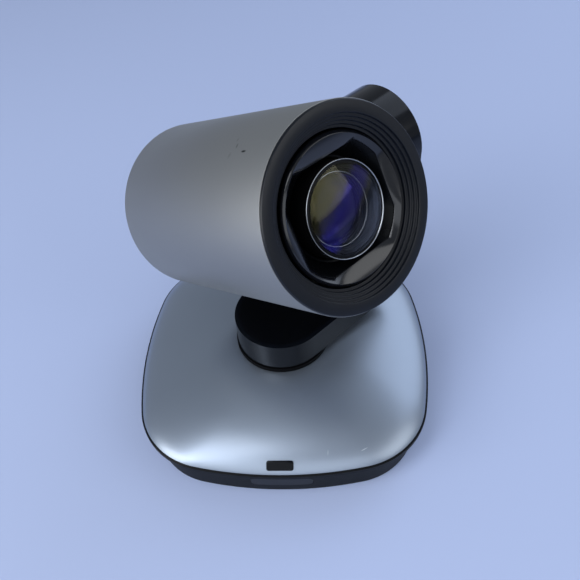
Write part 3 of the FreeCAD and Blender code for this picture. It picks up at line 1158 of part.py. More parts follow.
def drive_screw(depth_from, depth_to, x, z, motor_at_back):
    """Lead screw with a thinner journal at its motor's end."""
    tail = DRIVE_SCREW_SEAT + DRIVE_SCREW_NECK
    inner_from = depth_from + (0.0 if motor_at_back else tail)
    inner_to = depth_to - (tail if motor_at_back else 0.0)
    return joined([barrel_rod(ROD_RADIUS, inner_from, inner_to, x, z),
                   barrel_rod(MOTOR_SHAFT_RADIUS, depth_from, depth_to, x, z)])


def zoom_screw():
    back = BLOCK_BACK - DRIVE_MOTOR_LENGTH + DRIVE_SCREW_SEAT - END_PLAY
    return drive_screw(BLOCK_FRONT + BLOCK_END - ROD_SEAT + END_PLAY, back, -ROD_X, -ROD_Z, True)


def focus_screw():
    front = BLOCK_FRONT + BLOCK_END + DRIVE_MOTOR_LENGTH - DRIVE_SCREW_SEAT + END_PLAY
    return drive_screw(front, BLOCK_BACK + ROD_SEAT - END_PLAY, ROD_X, ROD_Z, False)


def image_sensor():
    return barrel_block(SENSOR_HALF_WIDTH, SENSOR_HALF_HEIGHT, BLOCK_BACK + BLOCK_END + SENSOR_GAP,
                        SENSOR_BOARD_DEPTH)


def sensor_board():
    return barrel_block(SENSOR_BOARD_HALF_WIDTH, SENSOR_BOARD_HALF_HEIGHT, SENSOR_BOARD_DEPTH,
                        SENSOR_BOARD_DEPTH + SENSOR_BOARD_THICKNESS)


def board_spacers():
    start = SENSOR_BOARD_DEPTH + SENSOR_BOARD_THICKNESS
    spots = ((SPACER_X, SPACER_Z), (-SPACER_X, SPACER_Z), (-SPACER_X, -SPACER_Z), (SPACER_X, -SPACER_Z))
    return Part.makeCompound([barrel_rod(SPACER_RADIUS, start, VIDEO_BOARD_DEPTH, x, z) for x, z in spots])


def video_board():
    return barrel_block(VIDEO_BOARD_HALF_WIDTH, VIDEO_BOARD_HALF_HEIGHT, VIDEO_BOARD_DEPTH,
                        VIDEO_BOARD_DEPTH + VIDEO_BOARD_THICKNESS)


def head_chassis():
    adds = []
    first = BLOCK_FRONT + BULKHEAD_SETBACK
    last = BLOCK_BACK - BULKHEAD_SETBACK
    for depth in (first, last):
        adds.append(barrel_rod(BARREL_BORE - SEAT_GAP, depth, depth + BULKHEAD_THICKNESS))
    middle = BLOCK_HALF_WIDTH + SIDE_PLATE_THICKNESS / 2.0
    adds.append(barrel_block(SIDE_PLATE_THICKNESS / 2.0, SIDE_PLATE_HALF_HEIGHT, first,
                             last + BULKHEAD_THICKNESS, middle))
    window = barrel_block(BLOCK_HALF_WIDTH, BLOCK_HALF_HEIGHT, first - 1.0, last + 2 * BULKHEAD_THICKNESS)
    cable_way = rod(TILT_SHAFT_BORE, V(0, 0, 0), V(BARREL_RADIUS, 0, 0))
    return without(joined(adds), [window, cable_way])


def rear_cap():
    lip = BARREL_RADIUS - REAR_CAP_SETBACK
    skirt = BARREL_BORE - SEAT_GAP
    plate = BARREL_LENGTH - REAR_CAP_LIP - BEZEL_WALL
    skirt_end = SHELL_BACK - REAR_CAP_SKIRT
    return barrel_turned([(0, plate), (skirt - BEZEL_WALL, plate), (skirt - BEZEL_WALL, skirt_end),
                          (skirt, skirt_end), (skirt, SHELL_BACK), (lip, SHELL_BACK),
                          (lip, BARREL_LENGTH - REAR_CAP_LIP / 2.0), (lip - REAR_CAP_LIP / 2.0, BARREL_LENGTH),
                          (0, BARREL_LENGTH)])


def tilt_boss():
    inner = TILT_SHAFT_RADIUS + SEAT_GAP
    body = tube(TILT_BOSS_RADIUS, inner, V(BARREL_RADIUS / 2.0, 0, 0), V(ARM_FACE - MOVING_GAP, 0, 0))
    return body.cut(barrel_rod(BARREL_RADIUS, 0.0, BARREL_LENGTH))


def tilt_shaft():
    start = SIDE_PLATE_OUTSIDE
    flange_end = start + TILT_FLANGE_THICKNESS
    end = TILT_GEAR_FROM + TILT_GEAR_FACE + CLIP_THICKNESS + 4 * MOVING_GAP
    body = turned([(TILT_SHAFT_BORE, start), (TILT_FLANGE_RADIUS, start), (TILT_FLANGE_RADIUS, flange_end),
                   (TILT_SHAFT_RADIUS, flange_end), (TILT_SHAFT_RADIUS, end), (TILT_SHAFT_BORE, end)],
                  V(0, 0, 0), RIGHT)
    return body.cut(groove(TILT_SHAFT_RADIUS, tilt_clip_seat(), RIGHT))


def tilt_clip_seat():
    """Inner face of the clip that keeps the tilt gear on its shaft."""
    return RIGHT * (TILT_GEAR_FROM + TILT_GEAR_FACE + MOVING_GAP)


def tilt_clip():
    return retaining_clip(TILT_SHAFT_RADIUS, tilt_clip_seat(), RIGHT)


# ---- Files --------------------------------------------------------------------------------------------
ASSEMBLIES = (
    (IN_BASE, (base_tray, rim_band, base_dome, base_feet, tripod_bush, base_weight, main_board, usb_port,
               power_jack, security_slot, receiver_window, status_window, pan_chassis, pan_bush, pan_motor,
               pan_pinion, base_screws, pan_gear)),
    (IN_ARM, (arm_shell, arm_cover, pan_shaft, pan_clip, pan_collar, arm_screws, tilt_bush, tilt_motor_plate,
              tilt_motor, tilt_pinion, tilt_gear)),
    (IN_HEAD, (barrel_shell, front_bezel, lens_hood, lens_ring, lens_tube, front_lens, second_lens, lens_block,
               sensor_plate, guide_rods, zoom_cell, zoom_lens, focus_cell, focus_lens, zoom_motor, focus_motor,
               zoom_screw, focus_screw, image_sensor, sensor_board, board_spacers, video_board, head_chassis,
               rear_cap, tilt_boss, tilt_shaft, tilt_clip)),
)


def main():
    os.makedirs("parts", exist_ok=True)
    for place, makers in ASSEMBLIES:
        for make in makers:
            shape = make()
            shape.Placement = place * shape.Placement
            if not shape.isValid() or shape.Volume <= 0:
                raise ValueError(make.__name__ + " is not a sound solid")
            shape.exportStep(os.path.join("parts", make.__name__ + ".step"))
            print(make.__name__, len(shape.Solids), "solid, %.0f mm3" % shape.Volume)


main()
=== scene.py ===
"""Studio scene of a pan-tilt-zoom conference camera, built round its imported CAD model.

Sizes are in millimetres and are turned to metres when a piece is placed. The head's own pieces are made
facing -Y with the optical axis through the origin of the bezel's front plane, and depth runs along +Y.
"""

from __future__ import annotations

import logging
import math
from collections.abc import Iterable, Sequence
from dataclasses import astuple, dataclass
from enum import Enum

import bmesh
import bpy
from bmesh.types import BMEdge, BMesh, BMVert
from bpy.types import Material, NodeSocket, NodeTree, Object
from mathutils import Matrix, Vector

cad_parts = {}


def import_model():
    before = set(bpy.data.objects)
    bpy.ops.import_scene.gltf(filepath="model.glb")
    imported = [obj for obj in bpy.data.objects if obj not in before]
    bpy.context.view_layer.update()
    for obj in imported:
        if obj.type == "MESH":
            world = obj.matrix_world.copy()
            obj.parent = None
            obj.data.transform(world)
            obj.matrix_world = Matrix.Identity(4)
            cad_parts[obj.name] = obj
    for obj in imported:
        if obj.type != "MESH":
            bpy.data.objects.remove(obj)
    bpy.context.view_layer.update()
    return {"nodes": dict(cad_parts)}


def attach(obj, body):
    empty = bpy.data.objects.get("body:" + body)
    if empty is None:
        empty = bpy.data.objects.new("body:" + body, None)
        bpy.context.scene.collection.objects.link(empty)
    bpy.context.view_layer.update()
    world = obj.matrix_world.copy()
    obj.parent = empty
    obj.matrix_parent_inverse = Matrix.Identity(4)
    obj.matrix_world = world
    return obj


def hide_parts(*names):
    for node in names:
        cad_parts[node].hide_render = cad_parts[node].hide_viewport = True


LOG = logging.getLogger("conference_camera")

MM = 0.001
ROUND = 2.0 * math.pi

# The rest pose in degrees, and the tilt axis in millimetres above the ground and behind the bezel's front.
PAN_REST = 45.0
TILT_REST = 29.0
TILT_AXIS_HEIGHT = 111.2
TILT_SETBACK = 47.0

# Sockets of a Mix node for colours, whose names stand for several.
MIX_SHARE, MIX_UNDER, MIX_OVER, MIX_RESULT = 0, 6, 7, 2
# Radians that a wave texture goes through in one unit of its coordinates.
WAVE_RATE = 20.0
# Length of a brushed or drawn line, in widths of it.
LINE_LENGTH = 40.0
# How much of its relief a finish shows, and the roughness of a clear coat.
BUMP_STRENGTH = 0.6
COAT_ROUGHNESS = 0.12
# How far a mark reaches into its piece, in millimetres, and the share of it that has its full strength.
MARK_REACH = 3.0
MARK_CORE = 0.4
# Clouds across the width of a painted reflection drift on a glass.
DRIFT_CLOUDS = 1.3

# Vertices nearer than this are one, in millimetres: in a whole mesh, and where an outline's arcs meet.
SEAM = 0.0005
ARC_SEAM = 0.001
# Faces that meet at more than this angle, in degrees, show an edge between them.
EDGE_ANGLE = 32.0

Pair = tuple[float, float]
Point = tuple[float, float, float]
Colour = tuple[float, float, float, float]
Profile = Sequence[Pair]
Materials = dict[str, Material]
Sockets = dict[str | int, object]

AT_BASE = Matrix.Scale(MM, 4)
AT_HEAD = (
    AT_BASE
    @ Matrix.Rotation(math.radians(PAN_REST), 4, "Z")
    @ Matrix.Translation((0.0, 0.0, TILT_AXIS_HEIGHT))
    @ Matrix.Rotation(math.radians(-TILT_REST), 4, "X")
    @ Matrix.Translation((0.0, -TILT_SETBACK, 0.0))
)

# Where the pieces made on a body stand at rest, from millimetres to metres.
AT_BODY = {"base": AT_BASE, "head": AT_HEAD}


# ---- Nodes and colours ----
def linear(hex_colour: str) -> Colour:
    """Turns an sRGB hex value such as "#8a8f96" into a linear colour.

    Args:
        hex_colour: The colour as a hash sign and six digits.

    Returns:
        Red, green, blue and an alpha of 1.
    """
    parts = [int(hex_colour[at : at + 2], 16) / 255.0 for at in (1, 3, 5)]
    red, green, blue = (
        part / 12.92 if part <= 0.04045 else ((part + 0.055) / 1.055) ** 2.4 for part in parts
    )
    return red, green, blue, 1.0


def per(size: float) -> float:
    """Texture scale, on coordinates in metres, that gives features of a size in millimetres."""
    return 1.0 / (size * MM)


def add_node(
    tree: NodeTree, kind: str, output: str | int, sockets: Sockets | None = None, **settings: object
) -> NodeSocket:
    """Adds a shader node with its settings, its values and its links.

    Args:
        tree: The tree that the node goes in.
        kind: The node's type after "ShaderNode", such as "Bump".
        output: Name or number of the output that is wanted.
        sockets: Inputs by name or number; an output socket given here is linked, anything else is set.
        **settings: The node's own properties.

    Returns:
        The output.
    """
    node = tree.nodes.new("ShaderNode" + kind)
    for name, value in settings.items():
        setattr(node, name, value)
    for name, value in (sockets or {}).items():
        if isinstance(value, NodeSocket):
            tree.links.new(value, node.inputs[name])
        else:
            node.inputs[name].default_value = value
    return node.outputs[output]


def shown(name: str, data: bpy.types.ID) -> Object:
    """Makes an object and adds it to the scene.

    Args:
        name: Its name.
        data: Its mesh, light or camera.

    Returns:
        The object.
    """
    made = bpy.data.objects.new(name, data)
    bpy.context.scene.collection.objects.link(made)
    return made


class Relief(Enum):
    """The patterns that a made surface can carry."""

    GRAIN = "fine irregular grain, as moulded, blasted or cast surfaces have"
    CELLS = "separate round cells, as pores and metal flakes are"
    RINGS = "rings round the optical axis, as a turning tool leaves"
    LINES = "straight fine lines, as brushing or drawing leaves"


@dataclass(frozen=True)
class Finish:
    """One real material with its surface, as a procedural node material.

    Attributes:
        name: What the material is and how its surface was made.
        colour: Main colour, sRGB hex.
        tone: The colour that it drifts to in broad clouds.
        metallic: From 0, for plastic, glass and rubber, to 1, for bare metal.
        roughness: Lowest and highest roughness.
        relief: The pattern of the surface.
        grain: Size of the pattern in millimetres.
        depth: Depth of the pattern in millimetres.
        cloud: Size of the colour's drift in millimetres.
        ior: Index of refraction; metals keep the default.
        coat: Weight of a clear coat.
        specular: Mirror reflection that a fine texture leaves; 0.5 is all of it.
        centred: Turns the coordinates so that Z runs along the optical axis.
    """

    name: str
    colour: str
    tone: str
    metallic: float
    roughness: Pair
    relief: Relief = Relief.GRAIN
    grain: float = 0.8
    depth: float = 0.01
    cloud: float = 25.0
    ior: float = 1.5
    coat: float = 0.0
    specular: float = 0.5
    centred: bool = False

    def coordinates(self, tree: NodeTree) -> NodeSocket:
        """Object coordinates, centred on the optical axis where the pattern needs it.

        Args:
            tree: The material's tree.

        Returns:
            The vector output that every pattern of the finish reads.
        """
        plain = add_node(tree, "TexCoord", "Object")
        if not self.centred:
            return plain
        back = (AT_HEAD @ Matrix.Scale(1.0 / MM, 4)).inverted()
        turn = Matrix.Rotation(math.radians(90.0), 4, "X") @ back
        sockets = {"Vector": plain, "Location": turn.translation, "Rotation": turn.to_euler()}
        return add_node(tree, "Mapping", "Vector", sockets)

    def height(self, tree: NodeTree, where: NodeSocket) -> NodeSocket:
        """The relief's height.

        Args:
            tree: The material's tree.
            where: The coordinates.

        Returns:
            A value output from 0 to 1.
        """
        size = {"Vector": where, "Scale": per(self.grain)}
        if self.relief is Relief.CELLS:
            return add_node(tree, "TexVoronoi", "Distance", size)
        if self.relief is Relief.RINGS:
            size["Scale"] = ROUND * per(self.grain) / WAVE_RATE
            size["Distortion"] = 0.4
            return add_node(tree, "TexWave", "Fac", size, wave_type="RINGS", rings_direction="Z")
        if self.relief is Relief.LINES:
            size["Scale"] = (per(self.grain), per(self.grain), per(LINE_LENGTH * self.grain))
            drawn = add_node(tree, "Mapping", "Vector", size)
            return add_node(tree, "TexNoise", "Fac", {"Vector": drawn, "Scale": 1.0})
        size["Detail"] = 4.0
        return add_node(tree, "TexNoise", "Fac", size)

    def paint(self, tree: NodeTree, where: NodeSocket) -> NodeSocket:
        """The colour, drifting slowly between the finish's two tones.

        Args:
            tree: The material's tree.
            where: The coordinates.

        Returns:
            A colour output.
        """
        clouds = {"Vector": where, "Scale": per(self.cloud), "Detail": 3.0}
        share = add_node(tree, "TexNoise", "Fac", clouds)
        tones = {MIX_SHARE: share, MIX_UNDER: linear(self.colour), MIX_OVER: linear(self.tone)}
        return add_node(tree, "Mix", MIX_RESULT, tones, data_type="RGBA")

    def shader(self, tree: NodeTree, sockets: Sockets) -> NodeSocket:
        """The finish's shader; a special finish adds its own inputs here.

        Args:
            tree: The material's tree.
            sockets: Inputs worked out so far.

        Returns:
            The shader output.
        """
        if self.metallic < 1.0:
            sockets["IOR"] = self.ior
        sockets["Specular IOR Level"] = self.specular
        sockets["Coat Weight"] = self.coat
        sockets["Coat Roughness"] = COAT_ROUGHNESS
        return add_node(tree, "BsdfPrincipled", "BSDF", sockets)

    def material(self) -> Material:
        """Makes the node material.

        Returns:
            The material, named after the finish.
        """
        made = bpy.data.materials.new(self.name)
        made.use_nodes = True
        tree = made.node_tree
        tree.nodes.clear()
        where = self.coordinates(tree)
        height = self.height(tree, where)
        low, high = self.roughness
        spread = {"Value": height, "To Min": low, "To Max": high}
        ridges = {"Height": height, "Distance": self.depth * MM, "Strength": BUMP_STRENGTH}
        sockets = {
            "Base Color": self.paint(tree, where),
            "Metallic": self.metallic,
            "Roughness": add_node(tree, "MapRange", "Result", spread),
            "Normal": add_node(tree, "Bump", "Normal", ridges),
        }
        end = tree.nodes.new("ShaderNodeOutputMaterial")
        tree.links.new(self.shader(tree, sockets), end.inputs["Surface"])
        return made


@dataclass(frozen=True)
class Mark:
    """A small rubbed, scratched or dirty place.

    Attributes:
        start: One end in millimetres, in the coordinates of the piece at rest.
        end: The other end.
        width: Its width in millimetres.
        strength: How far it covers the colour under it.
    """

    start: Point
    end: Point
    width: float
    strength: float


@dataclass(frozen=True)
class MarkedFinish(Finish):
    """A finish with a few small marks of use in another colour.

    Attributes:
        mark_colour: What shows in a mark, sRGB hex.
        marks: The places.
    """

    mark_colour: str = "#202226"
    marks: tuple[Mark, ...] = ()

    def paint(self, tree: NodeTree, where: NodeSocket) -> NodeSocket:
        """The drifting colour with the marks over it.

        Args:
            tree: The material's tree.
            where: The coordinates.

        Returns:
            A colour output.
        """
        colour = super().paint(tree, where)
        for mark in self.marks:
            along = (Vector(mark.end) - Vector(mark.start)) * MM
            half_width = mark.width * MM / 2.0
            laid = {
                "Vector": where,
                "Location": Vector(mark.start) * MM + along / 2.0,
                "Rotation": along.to_track_quat("X", "Z").to_euler(),
                "Scale": (along.length / 2.0 + half_width, half_width, MARK_REACH * MM),
            }
            local = add_node(tree, "Mapping", "Vector", laid, vector_type="TEXTURE")
            far = add_node(tree, "VectorMath", "Value", {0: local}, operation="LENGTH")
            fade = {"Value": far, "From Min": MARK_CORE, "To Min": mark.strength, "To Max": 0.0}
            share = add_node(tree, "MapRange", "Result", fade)
            cover = {MIX_SHARE: share, MIX_UNDER: colour, MIX_OVER: linear(self.mark_colour)}
            colour = add_node(tree, "Mix", MIX_RESULT, cover, data_type="RGBA")
        return colour


@dataclass(frozen=True)
class BoardFinish(Finish):
    """Fibreglass circuit board under green solder resist, with its copper tracks showing through.

    Attributes:
        track_colour: The resist over copper, sRGB hex.
        track: Length, spacing and width of a track in millimetres.
    """

    track_colour: str = "#3c7a4c"
    track: Point = (9.0, 1.1, 0.12)

    def paint(self, tree: NodeTree, where: NodeSocket) -> NodeSocket:
        """Green resist that is lighter over long tracks about a millimetre apart.

        Args:
            tree: The material's tree.
            where: The coordinates.

        Returns:
            A colour output.
        """
        length, spacing, width = self.track
        sockets = {
            "Vector": where,
            "Color1": linear(self.colour),
            "Color2": linear(self.tone),
            "Mortar": linear(self.track_colour),
            "Scale": per(1.0),
            "Mortar Size": width,
            "Brick Width": length,
            "Row Height": spacing,
        }
        return add_node(tree, "TexBrick", "Color", sockets)


@dataclass(frozen=True)
class Drift:
    """A painted change in the colour of a glass's reflections, from one side of it to the other.

    Attributes:
        middle: Where it is half done, in millimetres from the optical axis.
        lean: Direction of the change, in degrees from the right towards the bottom of the glass.
        width: How far it takes, in millimetres.
        tint: Colour of the reflections on the far side, sRGB hex.
    """

    middle: float
    lean: float
    width: float
    tint: str


@dataclass(frozen=True)
class GlassFinish(Finish):
    """Clear glass, its reflections tinted partly by its coating and partly by painted reflection colours.

    Attributes:
        sheen_tint: Colour of the reflections, sRGB hex.
        painted_reflection_drifts: Changes in that colour across the glass, one after another.
    """

    sheen_tint: str = "#ffffff"
    painted_reflection_drifts: tuple[Drift, ...] = ()

    def sheen(self, tree: NodeTree) -> NodeSocket | Colour:
        """Works out the colour of the reflections, with the painted reflection colours laid across the
        glass.

        Args:
            tree: The material's tree.

        Returns:
            The colour, or the output that gives it.
        """
        colour = linear(self.sheen_tint)
        where = self.coordinates(tree)
        for drift in self.painted_reflection_drifts:
            lean = math.radians(drift.lean)
            laid = {
                "Vector": where,
                "Location": (drift.middle * MM * math.cos(lean), drift.middle * MM * math.sin(lean), 0.0),
                "Rotation": (0.0, 0.0, lean),
                "Scale": (drift.width * MM,) * 3,
            }
            turned = add_node(tree, "Mapping", "Vector", laid, vector_type="TEXTURE")
            along = add_node(tree, "SeparateXYZ", "X", {"Vector": turned})
            clouds = {"Vector": turned, "Scale": DRIFT_CLOUDS, "Detail": 1.0}
            cloud = add_node(tree, "TexNoise", "Fac", clouds)
            stray = add_node(tree, "Math", "Value", {0: cloud, 1: along}, operation="ADD")
            share = add_node(tree, "MapRange", "Result", {"Value": stray})
            tints = {MIX_SHARE: share, MIX_UNDER: colour, MIX_OVER: linear(drift.tint)}
            colour = add_node(tree, "Mix", MIX_RESULT, tints, data_type="RGBA")
        return colour

    def shader(self, tree: NodeTree, sockets: Sockets) -> NodeSocket:
        """Adds transmission and the reflections' tint, partly the coating's colour and partly painted
        reflection.

        Args:
            tree: The material's tree.
            sockets: Inputs worked out so far.

        Returns:
            The shader output.
        """
        sockets["Transmission Weight"] = 1.0
        sockets["Specular Tint"] = self.sheen(tree)
        return super().shader(tree, sockets)


FINISHES: dict[str, Finish] = {
    # Black ABS from a spark-eroded tool: dull, its even 0.1 mm grain drawn coarser to show; its black
    # darkened further as painted shade for the shadowed floor round the base.
    "tray_black": Finish(
        "ABS moulded spark eroded", "#07090c", "#0a0c10", 0.0, (0.5, 0.65),
        grain=0.5, depth=0.03, specular=0.15,
    ),
    # Black ABS from a lightly textured tool: deep black, darkened further as painted shade for the shadowed
    # groove under the dome's edge.
    "rim_black": Finish(
        "ABS moulded satin", "#050608", "#08090b", 0.0, (0.35, 0.45), grain=1.5, depth=0.004, specular=0.12
    ),
    # Silver metallic lacquer: satin under a thin clear coat, its 0.05 mm flakes drawn coarser to sparkle.
    "dome_silver": MarkedFinish(
        "lacquer silver satin", "#8c96a3", "#949eac", 0.85, (0.32, 0.4), Relief.CELLS,
        grain=0.25, depth=0.004, cloud=60.0, coat=0.15, mark_colour="#d8dfe6",
        marks=(
            Mark((33.1, -55.1, 26.7), (36.3, -53.4, 27.0), 0.45, 0.8),
            Mark((19.8, -55.1, 27.7), (19.7, -57.5, 26.7), 0.4, 0.45),
        ),
    ),
    # Bead-blasted and clear-anodised aluminium: matt silver grey, its 0.1 mm tooth drawn coarser to show.
    "barrel_silver": MarkedFinish(
        "aluminium blasted anodised", "#939493", "#999a98", 1.0, (0.5, 0.58),
        grain=0.3, depth=0.006, cloud=45.0, mark_colour="#15171a",
        marks=(
            Mark((-5.6, -19.9, 151.1), (-4.1, -21.4, 152.3), 0.9, 0.95),
            Mark((-7.3, -14.2, 150.0), (-7.7, -15.8, 149.6), 0.9, 0.4),
            Mark((-7.4, -11.2, 149.8), (-7.6, -12.0, 149.7), 1.0, 0.2),
            Mark((-9.8, -16.2, 147.6), (-10.4, -17.2, 147.1), 1.6, 0.15),
        ),
    ),
    # Natural rubber, moulded: matt and slightly dusty.
    "foot_rubber": Finish(
        "rubber moulded", "#1a1a1b", "#242425", 0.0, (0.75, 0.9), grain=1.0, depth=0.05, ior=1.52
    ),
    # Free-cutting brass, turned: warm yellow with a faint tooth.
    "brass": Finish("brass turned", "#b08d4f", "#a27f42", 1.0, (0.24, 0.36), grain=0.5, depth=0.005),
    # Mild steel with bright zinc plating: grey with a faint blue cast.
    "zinc_steel": Finish("steel zinc plated", "#9a9fa6", "#8b9199", 1.0, (0.28, 0.42), depth=0.004),
    # Fibreglass board under green solder resist: glossy green, its tracks lighter.
    "board_green": BoardFinish(
        "fibreglass solder resist", "#17492b", "#1b5231", 0.0, (0.3, 0.42), depth=0.02
    ),
    # Nickel-plated sheet steel, stamped: bright with faint rolling lines, coarser than the real ones.
    "connector_steel": Finish(
        "steel nickel plated stamped", "#b4b2ab", "#a5a39c", 1.0, (0.2, 0.34), Relief.LINES, 0.2, 0.003
    ),
    # Black PBT, moulded: satin.
    "connector_black": Finish("PBT moulded", "#121214", "#1a1a1c", 0.0, (0.4, 0.5), grain=0.6, depth=0.015),
    # Acrylic dyed to pass only infrared: nearly black, with a satin face.
    "smoked_window": Finish(
        "acrylic dyed satin", "#040507", "#06070a", 0.0, (0.26, 0.32), grain=6.0, depth=0.002, specular=0.1
    ),
    # Die-cast aluminium, as cast: dull grey with a lumpy skin.
    "cast_aluminium": Finish(
        "aluminium die cast", "#85878a", "#76787b", 1.0, (0.42, 0.6), grain=1.2, depth=0.05
    ),
    # Sintered bronze: brown, its fine pores drawn coarser to show.
    "bronze": Finish("bronze sintered", "#7c5a36", "#684a2c", 1.0, (0.4, 0.55), Relief.CELLS, 0.5, 0.03),
    # Deep-drawn steel can, nickel plated: drawing lines along its side, coarser than the real ones.
    "motor_steel": Finish(
        "steel drawn nickel plated", "#8e8d8a", "#7f7e7b", 1.0, (0.26, 0.4), Relief.LINES, 0.3, 0.004
    ),
    # Natural acetal, moulded: waxy milk white.
    "gear_acetal": Finish(
        "acetal moulded", "#dcdad2", "#d2d0c7", 0.0, (0.34, 0.45), grain=1.0, depth=0.008, ior=1.48
    ),
    # Black ABS with a deep gloss.
    "arm_black": Finish(
        "ABS moulded gloss", "#030406", "#050609", 0.0, (0.16, 0.24), grain=3.0, depth=0.004, specular=0.2
    ),
    # Nylon filled with molybdenum sulphide, moulded: matt black, darkened further as painted shade for the
    # shadowed gap under the hub.
    "collar_painted_shade": Finish(
        "nylon filled moulded painted shade", "#020203", "#040405", 0.0, (0.6, 0.7), grain=0.5, specular=0.08
    ),
    # Dark graphite lacquer on plastic: a smooth sheen, with its grain drawn coarser to show.
    "arm_graphite": Finish(
        "lacquer graphite satin", "#06080d", "#090c12", 0.0, (0.12, 0.18),
        grain=0.4, depth=0.005, specular=0.22,
    ),
    # Black polycarbonate from an etched tool: matt, its 0.1 mm grain drawn coarser to show.
    "bezel_black": Finish(
        "polycarbonate moulded fine grain", "#080b12", "#0b0f16", 0.0, (0.3, 0.37), grain=0.35, specular=0.3
    ),
    # Black polycarbonate from a polished tool: glossy, for the hood's slanting front.
    "hood_gloss": Finish(
        "polycarbonate moulded polished", "#07080c", "#0a0b10", 0.0, (0.14, 0.2),
        grain=3.0, depth=0.002, ior=1.58, specular=0.48,
    ),
    # The same plastic inside the hood, satin to keep stray light off the lens.
    "hood_black": Finish(
        "polycarbonate moulded satin", "#040507", "#060709", 0.0, (0.24, 0.32),
        grain=3.0, depth=0.002, ior=1.58, specular=0.08,
    ),
    # Aluminium with a diamond-turned bevel: bright, its tool rings drawn 1.9 mm apart to show.
    "ring_bright": Finish(
        "aluminium diamond turned", "#aeb1b5", "#a3a6aa", 1.0, (0.14, 0.22), Relief.RINGS,
        grain=1.885, depth=0.002, centred=True,
    ),
    # Black-anodised aluminium, turned: dull, its faint tool rings drawn 2.5 mm apart to show.
    "lens_black": Finish(
        "aluminium black anodised turned", "#030304", "#050506", 0.0, (0.4, 0.5), Relief.RINGS,
        grain=2.513, depth=0.006, specular=0.12, centred=True,
    ),
    # Lanthanum crown glass, coated: clear, its coating tints its reflections khaki, and painted reflection
    # runs them through violet to almost none.
    "optical_glass": GlassFinish(
        "glass coated polished", "#f4f6ff", "#ffffff", 0.0, (0.0, 0.01),
        grain=20.0, depth=0.0, ior=1.64, specular=0.35, centred=True, sheen_tint="#7b7858",
        painted_reflection_drifts=(Drift(-4.4, 55.0, 3.0, "#5a46ff"), Drift(2.2, 55.0, 3.0, "#05070f")),
    ),
    # Flint glass, coated for another colour: its reflections are darker and bluer, and painted reflection
    # runs them from khaki through violet to almost none.
    "inner_glass": GlassFinish(
        "glass flint coated polished", "#f2f0ff", "#ffffff", 0.0, (0.0, 0.02),
        grain=20.0, depth=0.0, ior=1.6, centred=True, sheen_tint="#58522f",
        painted_reflection_drifts=(Drift(-2.9, 55.0, 3.5, "#3c30f0"), Drift(2.6, 55.0, 3.0, "#04060f")),
    ),
    # Black acrylic, polished: a dark mirror over the status lamps.
    "status_black": Finish(
        "acrylic black polished", "#07090d", "#0a0c11", 0.0, (0.06, 0.12),
        grain=6.0, depth=0.002, specular=0.12,
    ),
    # Black glass-filled polycarbonate: matt, its short fibres drawn coarser to show.
    "block_black": Finish(
        "polycarbonate glass filled moulded", "#141517", "#1d1e21", 0.0, (0.5, 0.62), Relief.LINES,
        grain=0.25, depth=0.02, ior=1.58,
    ),
    # Image sensor under its cover glass: dark violet mirror.
    "sensor_dark": Finish(
        "silicon sensor polished", "#14101c", "#1c1626", 0.3, (0.08, 0.14), grain=2.0, depth=0.0
    ),
}

# CAD nodes with a finish of their own instead of their slot's; the pan collar's is painted shade.
FINISH_OF = {"pan_collar": "collar_painted_shade"}


# ---- Shapes ----
def merged(bm: BMesh) -> BMesh:
    """Closes a mesh's seams and turns its faces outwards.

    Args:
        bm: The mesh, in millimetres.

    Returns:
        The same mesh.
    """
    bmesh.ops.remove_doubles(bm, verts=bm.verts, dist=SEAM)
    bmesh.ops.dissolve_degenerate(bm, edges=bm.edges, dist=SEAM)
    bmesh.ops.recalc_face_normals(bm, faces=bm.faces)
    return bm


def softened(bm: BMesh, width: float, segments: int = 2, sharper_than: float = 30.0) -> BMesh:
    """Rounds a mesh's sharp edges.

    Args:
        bm: The mesh, in millimetres.
        width: Width of the rounding.
        segments: Faces across the rounding.
        sharper_than: Least angle between an edge's two faces, in degrees.

    Returns:
        The same mesh.
    """
    limit = math.radians(sharper_than)
    sharp = [edge for edge in bm.edges if len(edge.link_faces) == 2 and edge.calc_face_angle() > limit]
    bmesh.ops.bevel(
        bm, geom=sharp, offset=width, offset_type="OFFSET",
        affect="EDGES", segments=segments, profile=0.5, material=-1,
    )
    return bm


def moved(section: Profile, radius: float, depth: float) -> list[Pair]:
    """A section moved out from the axis by a radius, and back by a depth."""
    return [(out + radius, back + depth) for out, back in section]


def lathe(section: Profile, steps: int = 192) -> BMesh:
    """Turned piece about the optical axis.

    Args:
        section: Closed outline of (radius, depth) points.
        steps: Faces round the piece.

    Returns:
        The mesh, in millimetres.
    """
    bm = bmesh.new()
    verts = [bm.verts.new((radius, depth, 0.0)) for radius, depth in section]
    pairs = zip(verts, verts[1:] + verts[:1])
    edges = [bm.edges.new(pair) for pair in pairs if pair[0].co.x + pair[1].co.x > 0.0]
    bmesh.ops.spin(
        bm, geom=verts + edges, cent=(0.0, 0.0, 0.0), axis=(0.0, 1.0, 0.0),
        angle=ROUND, steps=steps, use_merge=True,
    )
    return merged(bm)


def edges_between(verts: Iterable[BMVert]) -> list[BMEdge]:
    """The edges whose two ends are both among some vertices."""
    chosen = set(verts)
    return list({edge for vert in chosen for edge in vert.link_edges if edge.other_vert(vert) in chosen})


def bridged(bm: BMesh, loops: Sequence[Sequence[BMVert]], closed: bool) -> BMesh:
    """Skins a run of loops.

    Args:
        bm: The mesh that holds them.
        loops: The loops in order, each with as many vertices.
        closed: Whether the last is joined to the first.

    Returns:
        The same mesh.
    """
    rings = [edges_between(loop) for loop in loops]
    followers = rings[1:] + rings[:1] if closed else rings[1:]
    for ring, follower in zip(rings, followers):
        bmesh.ops.bridge_loops(bm, edges=ring + follower)
    return merged(bm)


